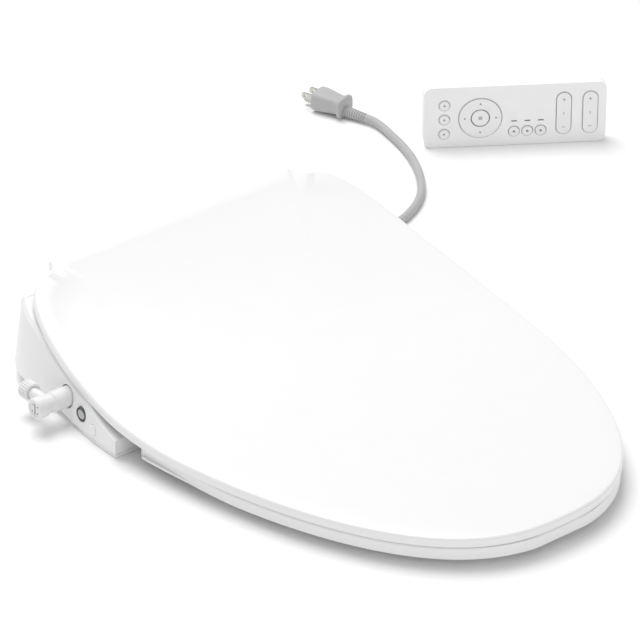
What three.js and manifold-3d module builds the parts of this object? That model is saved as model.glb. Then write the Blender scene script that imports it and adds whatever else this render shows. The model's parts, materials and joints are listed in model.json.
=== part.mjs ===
// Electric bidet seat: closed lid over a heated seat ring, on a wedge-shaped base with a side arm.
// Millimetres, +Z up. The front of the seat points to -Y and the water inlet is on the -X side.
// z = 0 is the plane of the toilet rim. The drawing's y = 0 is near the middle of the seat's length.
import * as THREE from 'three';
import { mergeVertices } from 'three/addons/utils/BufferGeometryUtils.js';
import Module from 'manifold-3d';

const wasm = await Module();
wasm.setup();

const group = new THREE.Group();
group.name = 'electric_bidet_seat';

// ---------- driving dimensions ----------

const GAP = 0.4; // clearance left between neighbouring pieces
const ORIGIN_Y = 195; // the finished object's origin is on the base's underside, at this y of the drawing
const SEAM_Z = 18; // lower edge of the lid along the front half
const LID = {
  halfWidth: 192, widestY: 78, frontY: -256, cornerRearY: 240, rearY: 250,
  thickness: 9, skin: 4, rimWidth: 9, crown: 3, tabHalfWidth: 131.5,
};
const RISE = { fromY: 0, height: 62 }; // the lid climbs over the base behind fromY
const HINGE = { y: 241, z: 75, knuckleR: 5, pinR: 2.4, boreR: 2.8 };
const SEAT = {
  inset: 1.5, bottomZ: 7, topZ: 17, wall: 2.4, rearY: 141, rearHalfWidth: 145.5,
  narrowFromY: 48, openRearY: 98, openFrontY: -192, openHalfWidth: 106,
};
const BASE = {
  offset: 4, armFrontY: 71, rearY: 254, wall: 3, trayTopZ: 9, recessHalfWidth: 150, recessRearY: 147,
  shoulderTopZ: 69.5, coverHalfWidth: 143, troughY: 226, sideSeamY: 232, rearWallY: 240,
};

// The coil is two turns wide and two turns high; the cord meets its outer turn on the left side.
const CORD = {
  diameter: 7.6, exitZ: 12.5, holeR: 6.4, coilX: 80, coilY: 289, coilInnerR: 30.4, coilOuterR: 45.6,
};
const cordR = CORD.diameter / 2;
const cordExitX = CORD.coilX - CORD.coilOuterR + cordR;

// ---------- outline and height rules ----------

// Half width of the lid outline at y: an egg shape with its widest point at LID.widestY.
function outlineHalfWidth(y, extra = 0, rearY = LID.cornerRearY) {
  const front = LID.frontY - extra;
  if (y < LID.widestY) {
    const u = Math.min(1, (LID.widestY - y) / (LID.widestY - front));
    return (LID.halfWidth + extra) * (1 - u ** 1.7) ** (1 / 2.5);
  }
  const v = Math.min(1, (y - LID.widestY) / (rearY - LID.widestY));
  return (LID.halfWidth + extra) * (1 - v ** 1.5) ** (1 / 12);
}

// Height of the lid's lower edge at y: level in front, climbing as a parabola toward the hinge.
function edgeHeight(y) {
  const t = Math.max(0, (y - RISE.fromY) / (LID.rearY - RISE.fromY));
  return SEAM_Z + RISE.height * t * t;
}

// Values between start and end, closer together at both ends so round ends stay round.
function easedSteps(start, end, count) {
  return Array.from({ length: count + 1 }, (_, i) =>
    start + (end - start) * (1 - Math.cos((Math.PI * i) / count)) / 2);
}

// The egg outline as a closed loop of plan points, counter-clockwise from the front tip.
function outlineLoop(frontSteps, rearSteps, extra = 0) {
  const ys = [
    ...easedSteps(LID.frontY - extra, LID.widestY, frontSteps),
    ...easedSteps(LID.widestY, LID.cornerRearY + extra, rearSteps).slice(1),
  ];
  const right = ys.map((y) => new THREE.Vector2(outlineHalfWidth(y, extra, LID.cornerRearY + extra), y));
  const left = right.slice(1, -1).reverse().map((p) => new THREE.Vector2(-p.x, p.y));
  return [...right, ...left];
}

// ---------- solid helpers ----------

// Closed solid skinned over rings of equal point count; fans close the two end rings.
function skinRings(rings, loop = false) {
  const count = rings[0].length;
  const points = rings.flat();
  const faces = [];
  const bands = loop ? rings.length : rings.length - 1;
  for (let band = 0; band < bands; band++) {
    const here = band * count;
    const next = ((band + 1) % rings.length) * count;
    for (let i = 0; i < count; i++) {
      const j = (i + 1) % count;
      faces.push([here + i, here + j, next + j], [here + i, next + j, next + i]);
    }
  }
  if (!loop) {
    addFan(points, faces, 0, count, true);
    addFan(points, faces, (rings.length - 1) * count, count, false);
  }
  return facesToGeometry(points, faces);
}

// Fan from the mean point of one ring.
function addFan(points, faces, start, count, reversed) {
  const middle = new THREE.Vector3();
  for (let i = 0; i < count; i++) middle.addScaledVector(points[start + i], 1 / count);
  points.push(middle);
  for (let i = 0; i < count; i++) {
    const edge = [start + i, start + ((i + 1) % count)];
    if (reversed) edge.reverse();
    faces.push([edge[0], edge[1], points.length - 1]);
  }
}

// Indexed geometry whose faces all point outward.
function facesToGeometry(points, faces) {
  let volume = 0;
  for (const [a, b, c] of faces) volume += points[a].dot(points[b].clone().cross(points[c]));
  const ordered = volume > 0 ? faces : faces.map(([a, b, c]) => [a, c, b]);
  const geometry = new THREE.BufferGeometry().setFromPoints(points);
  geometry.setIndex(ordered.flat());
  return geometry;
}

function toManifold(geometry) {
  const bare = geometry.clone();
  bare.deleteAttribute('normal');
  bare.deleteAttribute('uv');
  const merged = mergeVertices(bare, 1e-4);
  return new wasm.Manifold(new wasm.Mesh({
    numProp: 3,
    vertProperties: Float32Array.from(merged.attributes.position.array),
    triVerts: Uint32Array.from(merged.index.array),
  }));
}

function toGeometry(manifold) {
  const mesh = manifold.getMesh();
  const geometry = new THREE.BufferGeometry();
  geometry.setAttribute('position', new THREE.BufferAttribute(mesh.vertProperties, 3));
  geometry.setIndex(new THREE.BufferAttribute(mesh.triVerts, 1));
  return geometry;
}

// Box given by its low and high corners.
function box(low, high) {
  const size = high.map((value, i) => value - low[i]);
  const middle = high.map((value, i) => (value + low[i]) / 2);
  return new THREE.BoxGeometry(...size).translate(...middle);
}

// Box with rounded vertical edges.
function roundedBox(low, high, radius) {
  const shape = roundedRectangle(low[0], low[1], high[0], high[1], radius);
  return new THREE.ExtrudeGeometry(shape, { depth: high[2] - low[2], bevelEnabled: false, curveSegments: 4 })
    .translate(0, 0, low[2]);
}

function roundedRectangle(x0, y0, x1, y1, r) {
  const shape = new THREE.Shape();
  shape.moveTo(x0 + r, y0);
  shape.lineTo(x1 - r, y0);
  shape.absarc(x1 - r, y0 + r, r, -Math.PI / 2, 0);
  shape.lineTo(x1, y1 - r);
  shape.absarc(x1 - r, y1 - r, r, 0, Math.PI / 2);
  shape.lineTo(x0 + r, y1);
  shape.absarc(x0 + r, y1 - r, r, Math.PI / 2, Math.PI);
  shape.lineTo(x0, y0 + r);
  shape.absarc(x0 + r, y0 + r, r, Math.PI, 1.5 * Math.PI);
  return shape;
}

// Turned solid about the local Z axis from [radius, z] pairs; the axis is then laid along direction.
function turned(profile, position, direction, segments = 24) {
  const geometry = new THREE.LatheGeometry(profile.map(([r, z]) => new THREE.Vector2(r, z)), segments);
  const turn = new THREE.Quaternion()
    .setFromUnitVectors(new THREE.Vector3(0, 1, 0), direction.clone().normalize());
  return geometry.applyQuaternion(turn).translate(position.x, position.y, position.z);
}

// Solid rod, or a sleeve when boreR is given, from start to end.
function rod(start, end, radius, boreR = 0, segments = 16) {
  const along = end.clone().sub(start);
  const length = along.length();
  const profile = boreR > 0
    ? [[boreR, 0], [radius, 0], [radius, length], [boreR, length], [boreR, 0]]
    : [[0, 0], [radius, 0], [radius, length], [0, length]];
  return turned(profile, start, along, segments);
}

// Plate drawn in the YZ plane and given a width along X from x0 to x1.
function sidePlate(outline, x0, x1) {
  const shape = new THREE.Shape(outline.map(([y, z]) => new THREE.Vector2(y, z)));
  const geometry = new THREE.ExtrudeGeometry(shape, { depth: x1 - x0, bevelEnabled: false });
  const axes = new THREE.Matrix4().makeBasis(
    new THREE.Vector3(0, 1, 0), new THREE.Vector3(0, 0, 1), new THREE.Vector3(1, 0, 0));
  return geometry.applyMatrix4(axes).translate(x0, 0, 0);
}

// Flexible tube along a smooth curve through the given points.
function tube(points, radius, steps, sides = 8) {
  const path = new THREE.CatmullRomCurve3(points.map((p) => new THREE.Vector3(...p)), false, 'centripetal');
  const section = new THREE.Shape();
  for (let i = 0; i < sides; i++) {
    const angle = (2 * Math.PI * i) / sides;
    section[i ? 'lineTo' : 'moveTo'](radius * Math.cos(angle), radius * Math.sin(angle));
  }
  return new THREE.ExtrudeGeometry(section, { steps, extrudePath: path, bevelEnabled: false });
}

function vec(x, y, z) {
  return new THREE.Vector3(x, y, z);
}

const LOOKS = {
  whiteGloss: { color: 0xf6f6f5, roughness: 0.22, metalness: 0 },
  whiteSatin: { color: 0xeeeeed, roughness: 0.42, metalness: 0 },
  greyPlastic: { color: 0x8c8f92, roughness: 0.45, metalness: 0 },
  darkPlastic: { color: 0x2d2f31, roughness: 0.5, metalness: 0 },
  rubber: { color: 0xb9babb, roughness: 0.8, metalness: 0 },
  steel: { color: 0xbfc2c5, roughness: 0.3, metalness: 1 },
  brass: { color: 0xb08d4f, roughness: 0.35, metalness: 1 },
  board: { color: 0x1f5c3a, roughness: 0.5, metalness: 0 },
  foil: { color: 0xc9c2a8, roughness: 0.4, metalness: 0.6 },
};

function addPart(name, solid, look) {
  const geometry = solid.isBufferGeometry ? solid : toGeometry(solid);
  geometry.translate(0, -ORIGIN_Y, 0);
  const mesh = new THREE.Mesh(geometry, new THREE.MeshStandardMaterial(LOOKS[look]));
  mesh.name = name;
  group.add(mesh);
}

// ---------- lid ----------

// Plan loop moved inward by a distance measured square to the outline.
function insetLoop(loop, inset) {
  return loop.map((p, i) => {
    const before = loop[(i + loop.length - 1) % loop.length];
    const after = loop[(i + 1) % loop.length];
    const along = after.clone().sub(before).normalize();
    return new THREE.Vector2(p.x - along.y * inset, p.y + along.x * inset);
  });
}

// Ring of the lid: the outline pulled inward, at a height above the lid's lower edge.
function lidRing(loop, inset, height) {
  return insetLoop(loop, inset).map((p) => vec(p.x, p.y, edgeHeight(p.y) + height));
}

// Ring inside the lid's face: the outline shrunk toward the middle and lifted by the crown.
function lidFaceRing(loop, scale, height) {
  const middleY = 10;
  const lift = LID.crown * (1 - scale * scale);
  return loop.map((p) => {
    const y = middleY + (p.y - middleY) * scale;
    return vec(p.x * scale, y, edgeHeight(y) + height + lift);
  });
}

function makeLid() {
  const loop = outlineLoop(17, 9);
  const inner = LID.thickness - LID.skin;
  const rings = [
    lidFaceRing(loop, 0.12, inner), lidFaceRing(loop, 0.5, inner), lidFaceRing(loop, 0.8, inner),
    lidRing(loop, LID.rimWidth + 5, inner), lidRing(loop, LID.rimWidth, 0.8), lidRing(loop, 1.4, 0),
    lidRing(loop, 0, 1.6), lidRing(loop, 0, 4.6), lidRing(loop, 1.6, 7.4), lidRing(loop, 5, 8.7),
    lidRing(loop, 14, LID.thickness), lidFaceRing(loop, 0.8, LID.thickness),
    lidFaceRing(loop, 0.5, LID.thickness), lidFaceRing(loop, 0.12, LID.thickness),
  ];
  const shell = toManifold(skinRings(rings));
  const knuckleSpace = toManifold(box(
    [-LID.tabHalfWidth, 222, 40], [LID.tabHalfWidth, 262, HINGE.z + HINGE.knuckleR + 1]));
  let lid = shell.subtract(knuckleSpace).add(toManifold(makeLidTab()));
  for (const side of [-1, 1]) lid = lid.add(makeLidEar(side));
  return lid;
}

// Rear tab of the lid: a curved roof over the hinge line with a lip behind it.
function makeLidTab() {
  const roof = HINGE.z + HINGE.knuckleR + 1;
  return sidePlate([
    [220, 71], [227, 74.8], [235, roof - 0.7], [240, roof], [247, roof], [247.2, 74.5], [248.6, 73.9],
    [LID.rearY, 75], [LID.rearY, 82.6], [248.6, 85], [245, 86.2], [240, 85.4], [232, 80.6], [220, 75.2],
  ], -LID.tabHalfWidth, LID.tabHalfWidth);
}

// Ear that carries the lid on its pin.
function makeLidEar(side) {
  const x0 = Math.min(side * 48, side * 62);
  const knuckle = toManifold(rod(
    vec(x0, HINGE.y, HINGE.z), vec(x0 + 14, HINGE.y, HINGE.z), HINGE.knuckleR));
  const neck = toManifold(box([x0, HINGE.y - 3.4, HINGE.z], [x0 + 14, HINGE.y + 3.4, 84]));
  const bore = toManifold(rod(
    vec(x0 - 1, HINGE.y, HINGE.z), vec(x0 + 15, HINGE.y, HINGE.z), HINGE.boreR));
  return knuckle.add(neck).subtract(bore);
}

addPart('lid', makeLid(), 'whiteGloss');

// Round pads between the seat's top and the underside of the lid.
for (const [name, x, y] of [['lid_bumper_left', -62, -214], ['lid_bumper_right', 62, -214]]) {
  const undersideZ = SEAM_Z + LID.thickness - LID.skin;
  addPart(name, rod(vec(x, y, SEAT.topZ + GAP), vec(x, y, undersideZ - GAP), 6), 'rubber');
}

// ---------- seat ring ----------

// Outer plan loop of the seat: under the lid in front, narrower between the arms of the base.
function seatLoop(inset) {
  const half = (y) => Math.min(outlineHalfWidth(y) - SEAT.inset, seatWaist(y)) - inset;
  const front = LID.frontY + SEAT.inset + inset;
  const rear = SEAT.rearY - inset;
  const corner = 16;
  const ys = [
    ...easedSteps(front, SEAT.narrowFromY, 18).slice(1), 54, 59, 64, 90,
    rear - corner,
  ];
  const right = [vec(0, front, 0), ...ys.map((y) => vec(half(y), y, 0))];
  for (const angle of [30, 60, 90]) {
    const turn = THREE.MathUtils.degToRad(angle);
    right.push(vec(
      half(rear - corner) - corner * (1 - Math.cos(turn)), rear - corner * (1 - Math.sin(turn)), 0));
  }
  right.push(vec(0, rear, 0));
  const left = right.slice(1, -1).reverse().map((p) => vec(-p.x, p.y, 0));
  return [...right, ...left];
}

// Widest the seat may be at y, so that it clears the arms of the base.
function seatWaist(y) {
  const t = THREE.MathUtils.smoothstep(y, SEAT.narrowFromY, SEAT.narrowFromY + 16);
  return 200 - t * (200 - SEAT.rearHalfWidth);
}

// Plan loop of the opening, an elongated oval, with one point per point of the outer loop.
function openingLoop(outer, grow) {
  const middleY = (SEAT.openRearY + SEAT.openFrontY) / 2;
  const halfLength = (SEAT.openRearY - SEAT.openFrontY) / 2 + grow;
  const halfWidth = SEAT.openHalfWidth + grow;
  return outer.map((p) => {
    const angle = Math.atan2((p.y - middleY) / halfLength, p.x / halfWidth);
    const power = 2 / 2.3;
    const x = halfWidth * Math.sign(Math.cos(angle)) * Math.abs(Math.cos(angle)) ** power;
    const y = halfLength * Math.sign(Math.sin(angle)) * Math.abs(Math.sin(angle)) ** power;
    return vec(x, middleY + y, 0);
  });
}

function atHeight(loop, z) {
  return loop.map((p) => vec(p.x, p.y, z));
}

// Ring-shaped solid between an outer inset and an opening growth, from z0 to z1.
function seatBand(inset, grow, z0, z1) {
  const outer = seatLoop(inset);
  const opening = openingLoop(seatLoop(0), grow);
  return skinRings([
    atHeight(outer, z0), atHeight(outer, z1), atHeight(opening, z1), atHeight(opening, z0),
  ], true);
}

function makeSeatTopShell() {
  const outer = seatLoop(0);
  const edge = seatLoop(2.2);
  const opening = openingLoop(seatLoop(0), 0);
  const openingEdge = openingLoop(seatLoop(0), 3);
  const body = toManifold(skinRings([
    atHeight(outer, SEAT.bottomZ), atHeight(outer, SEAT.topZ - 2.2), atHeight(edge, SEAT.topZ),
    atHeight(openingEdge, SEAT.topZ), atHeight(opening, SEAT.topZ - 4), atHeight(opening, SEAT.bottomZ),
  ], true));
  const hollow = toManifold(seatBand(SEAT.wall, SEAT.wall, SEAT.bottomZ - 1, SEAT.topZ - SEAT.wall - 1));
  return body.subtract(hollow).subtract(nozzleNotch(15));
}

// Space the nozzle wands pass through under the rear of the seat.
function nozzleNotch(topZ) {
  return toManifold(box([-34, 84, -40], [34, 160, topZ]));
}

function makeSeatBottomPlate() {
  const plate = toManifold(seatBand(SEAT.wall + GAP, SEAT.wall + GAP, SEAT.bottomZ, SEAT.bottomZ + 2.4));
  return plate.subtract(nozzleNotch(30));
}

function makeSeatHeater() {
  const sheet = toManifold(seatBand(14, 12, SEAT.topZ - 5.2, SEAT.topZ - 4));
  return sheet.subtract(toManifold(box([-60, 60, 0], [60, 160, 30])));
}

// Side outline of a hinge arm that starts at startY, lies over the base and ends at the hinge line.
function armOutline(startY, footed) {
  const lower = 1 - GAP;
  const ys = [];
  for (let y = Math.max(startY, 150); y < 229; y += 13) ys.push(y);
  const top = ys.map((y) => [y, edgeHeight(y) + 3.4]);
  const under = ys.map((y) => [y, edgeHeight(y) - lower]);
  const foot = SEAT.topZ + GAP;
  const footUnder = footed ? [[108, foot], [122, foot], [145, edgeHeight(148) - lower]] : [];
  const footTop = footed ? [[140, edgeHeight(140) + 2.4], [118, foot + 5], [108, foot + 5]] : [];
  return [...footUnder, ...under, [234, HINGE.z - 4.2], [HINGE.y, HINGE.z - 4.2], [HINGE.y, HINGE.z + 4.2],
    [236, HINGE.z + 4.2], ...top.reverse(), ...footTop];
}

// Arm with a bored knuckle at the hinge line.
function hingeArm(x0, x1, startY, footed) {
  const plate = toManifold(sidePlate(armOutline(startY, footed), x0, x1));
  const knuckle = toManifold(rod(vec(x0, HINGE.y, HINGE.z), vec(x1, HINGE.y, HINGE.z), HINGE.knuckleR));
  const bore = toManifold(rod(vec(x0 - 1, HINGE.y, HINGE.z), vec(x1 + 1, HINGE.y, HINGE.z), HINGE.boreR));
  return plate.add(knuckle).subtract(bore);
}

addPart('seat_top_shell', makeSeatTopShell(), 'whiteGloss');
addPart('seat_bottom_plate', makeSeatBottomPlate(), 'whiteSatin');
addPart('seat_heater', makeSeatHeater(), 'foil');
addPart('seat_hinge_arm_left', hingeArm(-118, -92, 108, true), 'whiteSatin');
addPart('seat_hinge_arm_right', hingeArm(92, 118, 108, true), 'whiteSatin');

for (const [name, x, y] of [
  ['seat_bumper_front_left', -60, -208], ['seat_bumper_front_right', 60, -208],
  ['seat_bumper_middle_left', -148, 10], ['seat_bumper_middle_right', 148, 10],
]) {
  addPart(name, roundedBox([x - 7, y - 15, 0], [x + 7, y + 15, SEAT.bottomZ - GAP], 6), 'rubber');
}

addPart('hinge_rod', rod(vec(-120, HINGE.y, HINGE.z), vec(120, HINGE.y, HINGE.z), HINGE.pinR), 'steel');
for (const [side, word, bracketX] of [[-1, 'left', -91], [1, 'right', 63]]) {
  const inner = vec(side * 20, HINGE.y, HINGE.z);
  const outer = vec(side * 47.5, HINGE.y, HINGE.z);
  addPart(`soft_close_damper_${word}`, rod(inner, outer, 4.6, HINGE.boreR), 'greyPlastic');
  addPart(`hinge_bracket_${word}`, hingeArm(bracketX, bracketX + 28, 200, false), 'whiteSatin');
}

// ---------- base housing ----------

// Goes smoothly from 0 at startY to 1 at endY.
function blend(y, startY, endY) {
  return THREE.MathUtils.smoothstep(y, startY, endY);
}

// Half width of the base at its foot: it flares out past the lid toward the rear corners.
function footHalfWidth(y, rearY) {
  return outlineHalfWidth(y, BASE.offset + 11 * blend(y, 150, 225), rearY);
}

// Half width of the base just under the lid: proud of it at the arm's front and at the rear corner.
function browHalfWidth(y, rearY) {
  const proud = 3.5 - 5 * blend(y, BASE.armFrontY, 150) + 6.5 * blend(y, 185, 230);
  return outlineHalfWidth(y, proud, rearY - 1);
}

// Height of the base's roof: close under the lid, a little lower at the front end of the arms.
function roofHeight(y) {
  const dip = 4.4 * (1 - blend(y, BASE.armFrontY, 120));
  return Math.min(edgeHeight(y) - 2 - dip, BASE.shoulderTopZ);
}

// Width of the bevel along the foot, wider toward the rear.
function footBevel(y) {
  return 1 + 10 * blend(y, 100, 200);
}

// Width of the rounding along the roof's edge.
function roofBevel(y) {
  return 1 + 2 * blend(y, 75, 130);
}

// Wedge block of the base: sections across X at stations in Y, shrunk by inset on every outer side.
function wedge(inset, bottomZ) {
  const rear = BASE.rearY - inset;
  const ys = [BASE.armFrontY + inset, 85, 100, 115, 130, ...easedSteps(145, rear - 1.2, 12)];
  const rings = ys.map((y) => {
    const foot = footHalfWidth(y, rear) - inset;
    const brow = browHalfWidth(y, rear) - inset;
    const roof = roofHeight(y) - inset;
    const soft = roofBevel(y);
    const bevel = footBevel(y);
    return [
      vec(-foot + bevel, y, bottomZ), vec(-foot, y, bottomZ + bevel), vec(-brow, y, roof - soft),
      vec(-brow + soft, y, roof), vec(brow - soft, y, roof), vec(brow, y, roof - soft),
      vec(foot, y, bottomZ + bevel), vec(foot - bevel, y, bottomZ),
    ];
  });
  return toManifold(skinRings(rings));
}

// Block cut out of the base's front, where the seat and the bowl opening are.
function recess(grow) {
  const half = BASE.recessHalfWidth + grow;
  const rear = BASE.recessRearY + grow;
  const radius = 18 + grow;
  return toManifold(roundedBox([-half, 20, -10], [half, rear, 120], radius));
}

// Space for the hinge line along the base's rear edge.
function hingeTrough(grow) {
  const half = LID.tabHalfWidth + 2.5 + grow;
  return toManifold(box([-half, BASE.troughY - grow, 58 - grow], [half, 270, 120]));
}

// Space behind the rear wall, between the corner lobes, where the lid's lip swings down.
function lipSpace(grow) {
  const half = LID.tabHalfWidth + 2.5 + grow;
  return toManifold(box([-half, BASE.rearWallY - grow, -10], [half, 270, 120]));
}

const outerBase = wedge(0, 0).subtract(recess(0)).subtract(hingeTrough(0)).subtract(lipSpace(0));
const innerBase = wedge(BASE.wall, 3).subtract(recess(BASE.wall)).subtract(hingeTrough(BASE.wall))
  .subtract(lipSpace(BASE.wall));
const baseShell = outerBase.subtract(innerBase);
const nozzleWindow = toManifold(box([-32, 120, 3.2], [32, 158, 22]));

function slab(low, high) {
  return toManifold(box(low, high));
}

// Hole in the rear wall for the cord's strain relief.
const cordHole = toManifold(rod(
  vec(cordExitX, 200, CORD.exitZ), vec(cordExitX, 280, CORD.exitZ), CORD.holeR));

function makeTray() {
  return baseShell.intersect(slab([-260, 0, -1], [260, 300, BASE.trayTopZ]))
    .subtract(nozzleWindow).subtract(cordHole)
    .subtract(sidePanelRegion(-1, GAP)).subtract(sidePanelRegion(1, GAP));
}

// Everything outside the side seam: the arm and flank on one side.
function sidePanelRegion(side, grow) {
  const inner = BASE.coverHalfWidth - grow;
  const bottomZ = BASE.wall + GAP - grow;
  const rearY = BASE.sideSeamY + grow;
  return side < 0
    ? slab([-260, 0, bottomZ], [-inner, rearY, 130])
    : slab([inner, 0, bottomZ], [260, rearY, 130]);
}

const BUTTONS = {
  ring: { y: 122, z: 16.5, r: 4.6, bezelR: 6.4 },
  plain: { y: 103.5, z: 11, r: 4.6 },
};

// The inlet's stem points to -X and ends in the filter cap; a branch behind the cap points to +Y.
const INLET = {
  y: 146, z: 21.5, stemR: 8.8, innerX: -173, shoulderX: -204, neckR: 8, neckEndX: -212.2, filterR: 6.2,
  boreR: 2.4, branchX: -207, branchR: 5, branchEndY: 177, nutY: 168, nutLength: 11, nutR: 8.2,
};
const PANEL_HOLE_GAP = 1.2; // visible ring around the inlet's stem

// Outer face of the side panel at a point, straight across in X.
function flankX(y, z) {
  const bevelTop = footBevel(y);
  const t = (z - bevelTop) / (roofHeight(y) - roofBevel(y) - bevelTop);
  return THREE.MathUtils.lerp(footHalfWidth(y, BASE.rearY), browHalfWidth(y, BASE.rearY), t);
}

function makeSidePanel(side) {
  let panel = baseShell.intersect(sidePanelRegion(side, 0));
  if (side < 0) {
    for (const [y, z, r] of [
      [BUTTONS.ring.y, BUTTONS.ring.z, BUTTONS.ring.bezelR + GAP],
      [BUTTONS.plain.y, BUTTONS.plain.z, BUTTONS.plain.r + GAP],
      [INLET.y, INLET.z, INLET.stemR + PANEL_HOLE_GAP],
    ]) {
      panel = panel.subtract(toManifold(rod(vec(-230, y, z), vec(-165, y, z), r)));
    }
  }
  return panel;
}

function makeTopCover() {
  const inner = BASE.coverHalfWidth - GAP;
  const low = [-inner, 0, BASE.trayTopZ + GAP];
  return baseShell.intersect(slab(low, [inner, BASE.troughY - BASE.wall - GAP, 130])).subtract(nozzleWindow);
}

function makeRearCover() {
  const inner = BASE.coverHalfWidth - GAP;
  const bottomZ = BASE.trayTopZ + GAP;
  const middle = slab([-inner, BASE.troughY + GAP, bottomZ], [inner, 300, 130]);
  const corners = slab([-260, BASE.sideSeamY + GAP, bottomZ], [260, 300, 130]);
  const lip = slab([-inner, BASE.troughY - BASE.wall, 50], [inner, BASE.rearWallY, 62]);
  return baseShell.intersect(middle.add(corners).add(lip)).subtract(cordHole);
}

addPart('base_tray', makeTray(), 'whiteSatin');
addPart('base_top_cover', makeTopCover(), 'whiteSatin');
addPart('base_side_panel_left', makeSidePanel(-1), 'whiteGloss');
addPart('base_side_panel_right', makeSidePanel(1), 'whiteGloss');
addPart('base_rear_cover', makeRearCover(), 'whiteSatin');

// ---------- buttons on the left side panel ----------

// Round piece set in the panel, its outer face standing proud of the flank by the given amount.
function panelDisc(y, z, radius, depth, proud, boreR = 0) {
  const outerX = -flankX(y, z) - proud;
  return rod(vec(outerX + depth, y, z), vec(outerX, y, z), radius, boreR, 28);
}

const { ring, plain } = BUTTONS;
addPart('button_bezel', panelDisc(ring.y, ring.z, ring.bezelR, 7, 0.9, ring.r + GAP), 'darkPlastic');
addPart('power_button', panelDisc(ring.y, ring.z, ring.r, 8, 0.8), 'greyPlastic');
addPart('wash_button', panelDisc(plain.y, plain.z, plain.r, 7, 1.2), 'whiteSatin');

// ---------- water inlet valve ----------

// Point on the stem's centre line at x.
function onStem(x) {
  return vec(x, INLET.y, INLET.z);
}

// Point on the branch's centre line at y.
function onBranch(y) {
  return vec(INLET.branchX, y, INLET.z);
}

function makeInletBody() {
  const shoulder = INLET.innerX - INLET.shoulderX;
  const end = INLET.innerX - INLET.neckEndX;
  const stem = toManifold(turned(
    [[0, 0], [INLET.stemR, 0], [INLET.stemR, shoulder], [INLET.neckR, shoulder + 0.8], [INLET.neckR, end],
      [0, end]],
    onStem(INLET.innerX), vec(-1, 0, 0), 28));
  const branch = toManifold(rod(onBranch(INLET.y), onBranch(INLET.branchEndY), INLET.branchR, 0, 24));
  const filterBore = toManifold(rod(onStem(-202), onStem(-215), INLET.filterR, 0, 24));
  const stemBore = toManifold(rod(onStem(-172), onStem(-205), INLET.boreR, 0, 16));
  const branchBore = toManifold(rod(onBranch(INLET.y), onBranch(INLET.branchEndY + 1), INLET.boreR, 0, 16));
  return stem.add(branch).subtract(filterBore).subtract(stemBore).subtract(branchBore);
}

// Screw cap with a coin slot and four shallow dimples on its outer face.
function makeFilterCap() {
  const start = INLET.neckEndX - GAP;
  const outerX = start - 8.9;
  const head = toManifold(turned(
    [[0, 0], [9.2, 0], [9.2, 8.2], [8.2, 9.4], [6.8, 9.4], [6.8, 8.9], [0, 8.9]],
    onStem(start), vec(-1, 0, 0), 32));
  const plug = toManifold(rod(onStem(start + 5.2), onStem(start - 1), INLET.filterR - GAP, 0, 24));
  const slot = toManifold(box(
    [outerX - 1, INLET.y - 0.9, INLET.z - 5.6], [outerX + 2, INLET.y + 0.9, INLET.z + 5.6]));
  let cap = head.add(plug).subtract(slot);
  for (const [dy, dz] of [[-3.4, -3], [-3.4, 3], [3.4, -3], [3.4, 3]]) {
    const dimple = rod(vec(outerX - 1, INLET.y + dy, INLET.z + dz),
      vec(outerX + 0.8, INLET.y + dy, INLET.z + dz), 0.7, 0, 8);
    cap = cap.subtract(toManifold(dimple));
  }
  return cap;
}

// Knurled nut: a lobed outline pushed along the branch, with a clearance bore for it.
function makeInletNut() {
  const lobes = 18;
  const points = Array.from({ length: lobes * 3 }, (_, i) => {
    const radius = INLET.nutR - (i % 3 === 0 ? 0.8 : 0);
    const angle = (2 * Math.PI * i) / (lobes * 3);
    return new THREE.Vector2(radius * Math.cos(angle), radius * Math.sin(angle));
  });
  const blank = new THREE.ExtrudeGeometry(
    new THREE.Shape(points), { depth: INLET.nutLength, bevelEnabled: false })
    .rotateX(-Math.PI / 2).translate(...onBranch(INLET.nutY).toArray());
  const bore = rod(onBranch(INLET.nutY - 1), onBranch(INLET.nutY + 20), INLET.branchR + GAP, 0, 24);
  return toManifold(blank).subtract(toManifold(bore));
}

addPart('water_inlet_body', makeInletBody(), 'whiteSatin');
addPart('inlet_filter_cap', makeFilterCap(), 'whiteSatin');
addPart('inlet_filter_screen', rod(onStem(-202.6), onStem(-206.8), 5.2, 4.2, 20), 'steel');
addPart('inlet_hose_nut', makeInletNut(), 'whiteSatin');

// ---------- working parts inside the base ----------

const WAND = { slope: THREE.MathUtils.degToRad(22), exitY: 149, exitZ: 10.4, length: 82, radius: 4.5, x: 11 };
const wandAxis = vec(0, -Math.cos(WAND.slope), -Math.sin(WAND.slope));

function alongWand(x, distance) {
  return vec(x, WAND.exitY, WAND.exitZ).addScaledVector(wandAxis, distance);
}

for (const [name, side] of [['rear_wash', -1], ['front_wash', 1]]) {
  const x = side * WAND.x;
  addPart(`${name}_wand`, rod(alongWand(x, -WAND.length), alongWand(x, -10), WAND.radius, 2.2, 20), 'steel');
  const holes = Array.from({ length: 3 }, (_, i) => {
    const start = alongWand(x + (i - 1) * 2.4, -4);
    return toManifold(rod(start, start.clone().add(vec(0, 0, 8)), 0.6, 0, 10));
  });
  const tip = toManifold(turned([[0, 0], [WAND.radius, 0], [WAND.radius, 7], [3.2, 9.6], [0, 9.6]],
    alongWand(x, -10 + GAP), wandAxis, 20));
  addPart(`${name}_nozzle_tip`, holes.reduce((solid, hole) => solid.subtract(hole), tip), 'whiteSatin');
}

// Guide block that carries both wands.
function makeWandGuide() {
  const block = toManifold(sidePlate([[176, 9.8], [212, 9.8], [212, 48], [176, 33]], -20, 20));
  return [-1, 1].reduce((solid, side) => solid.subtract(toManifold(rod(
    alongWand(side * WAND.x, -120), alongWand(side * WAND.x, 20), WAND.radius + GAP, 0, 20))), block);
}

addPart('nozzle_guide', makeWandGuide(), 'greyPlastic');

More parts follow.
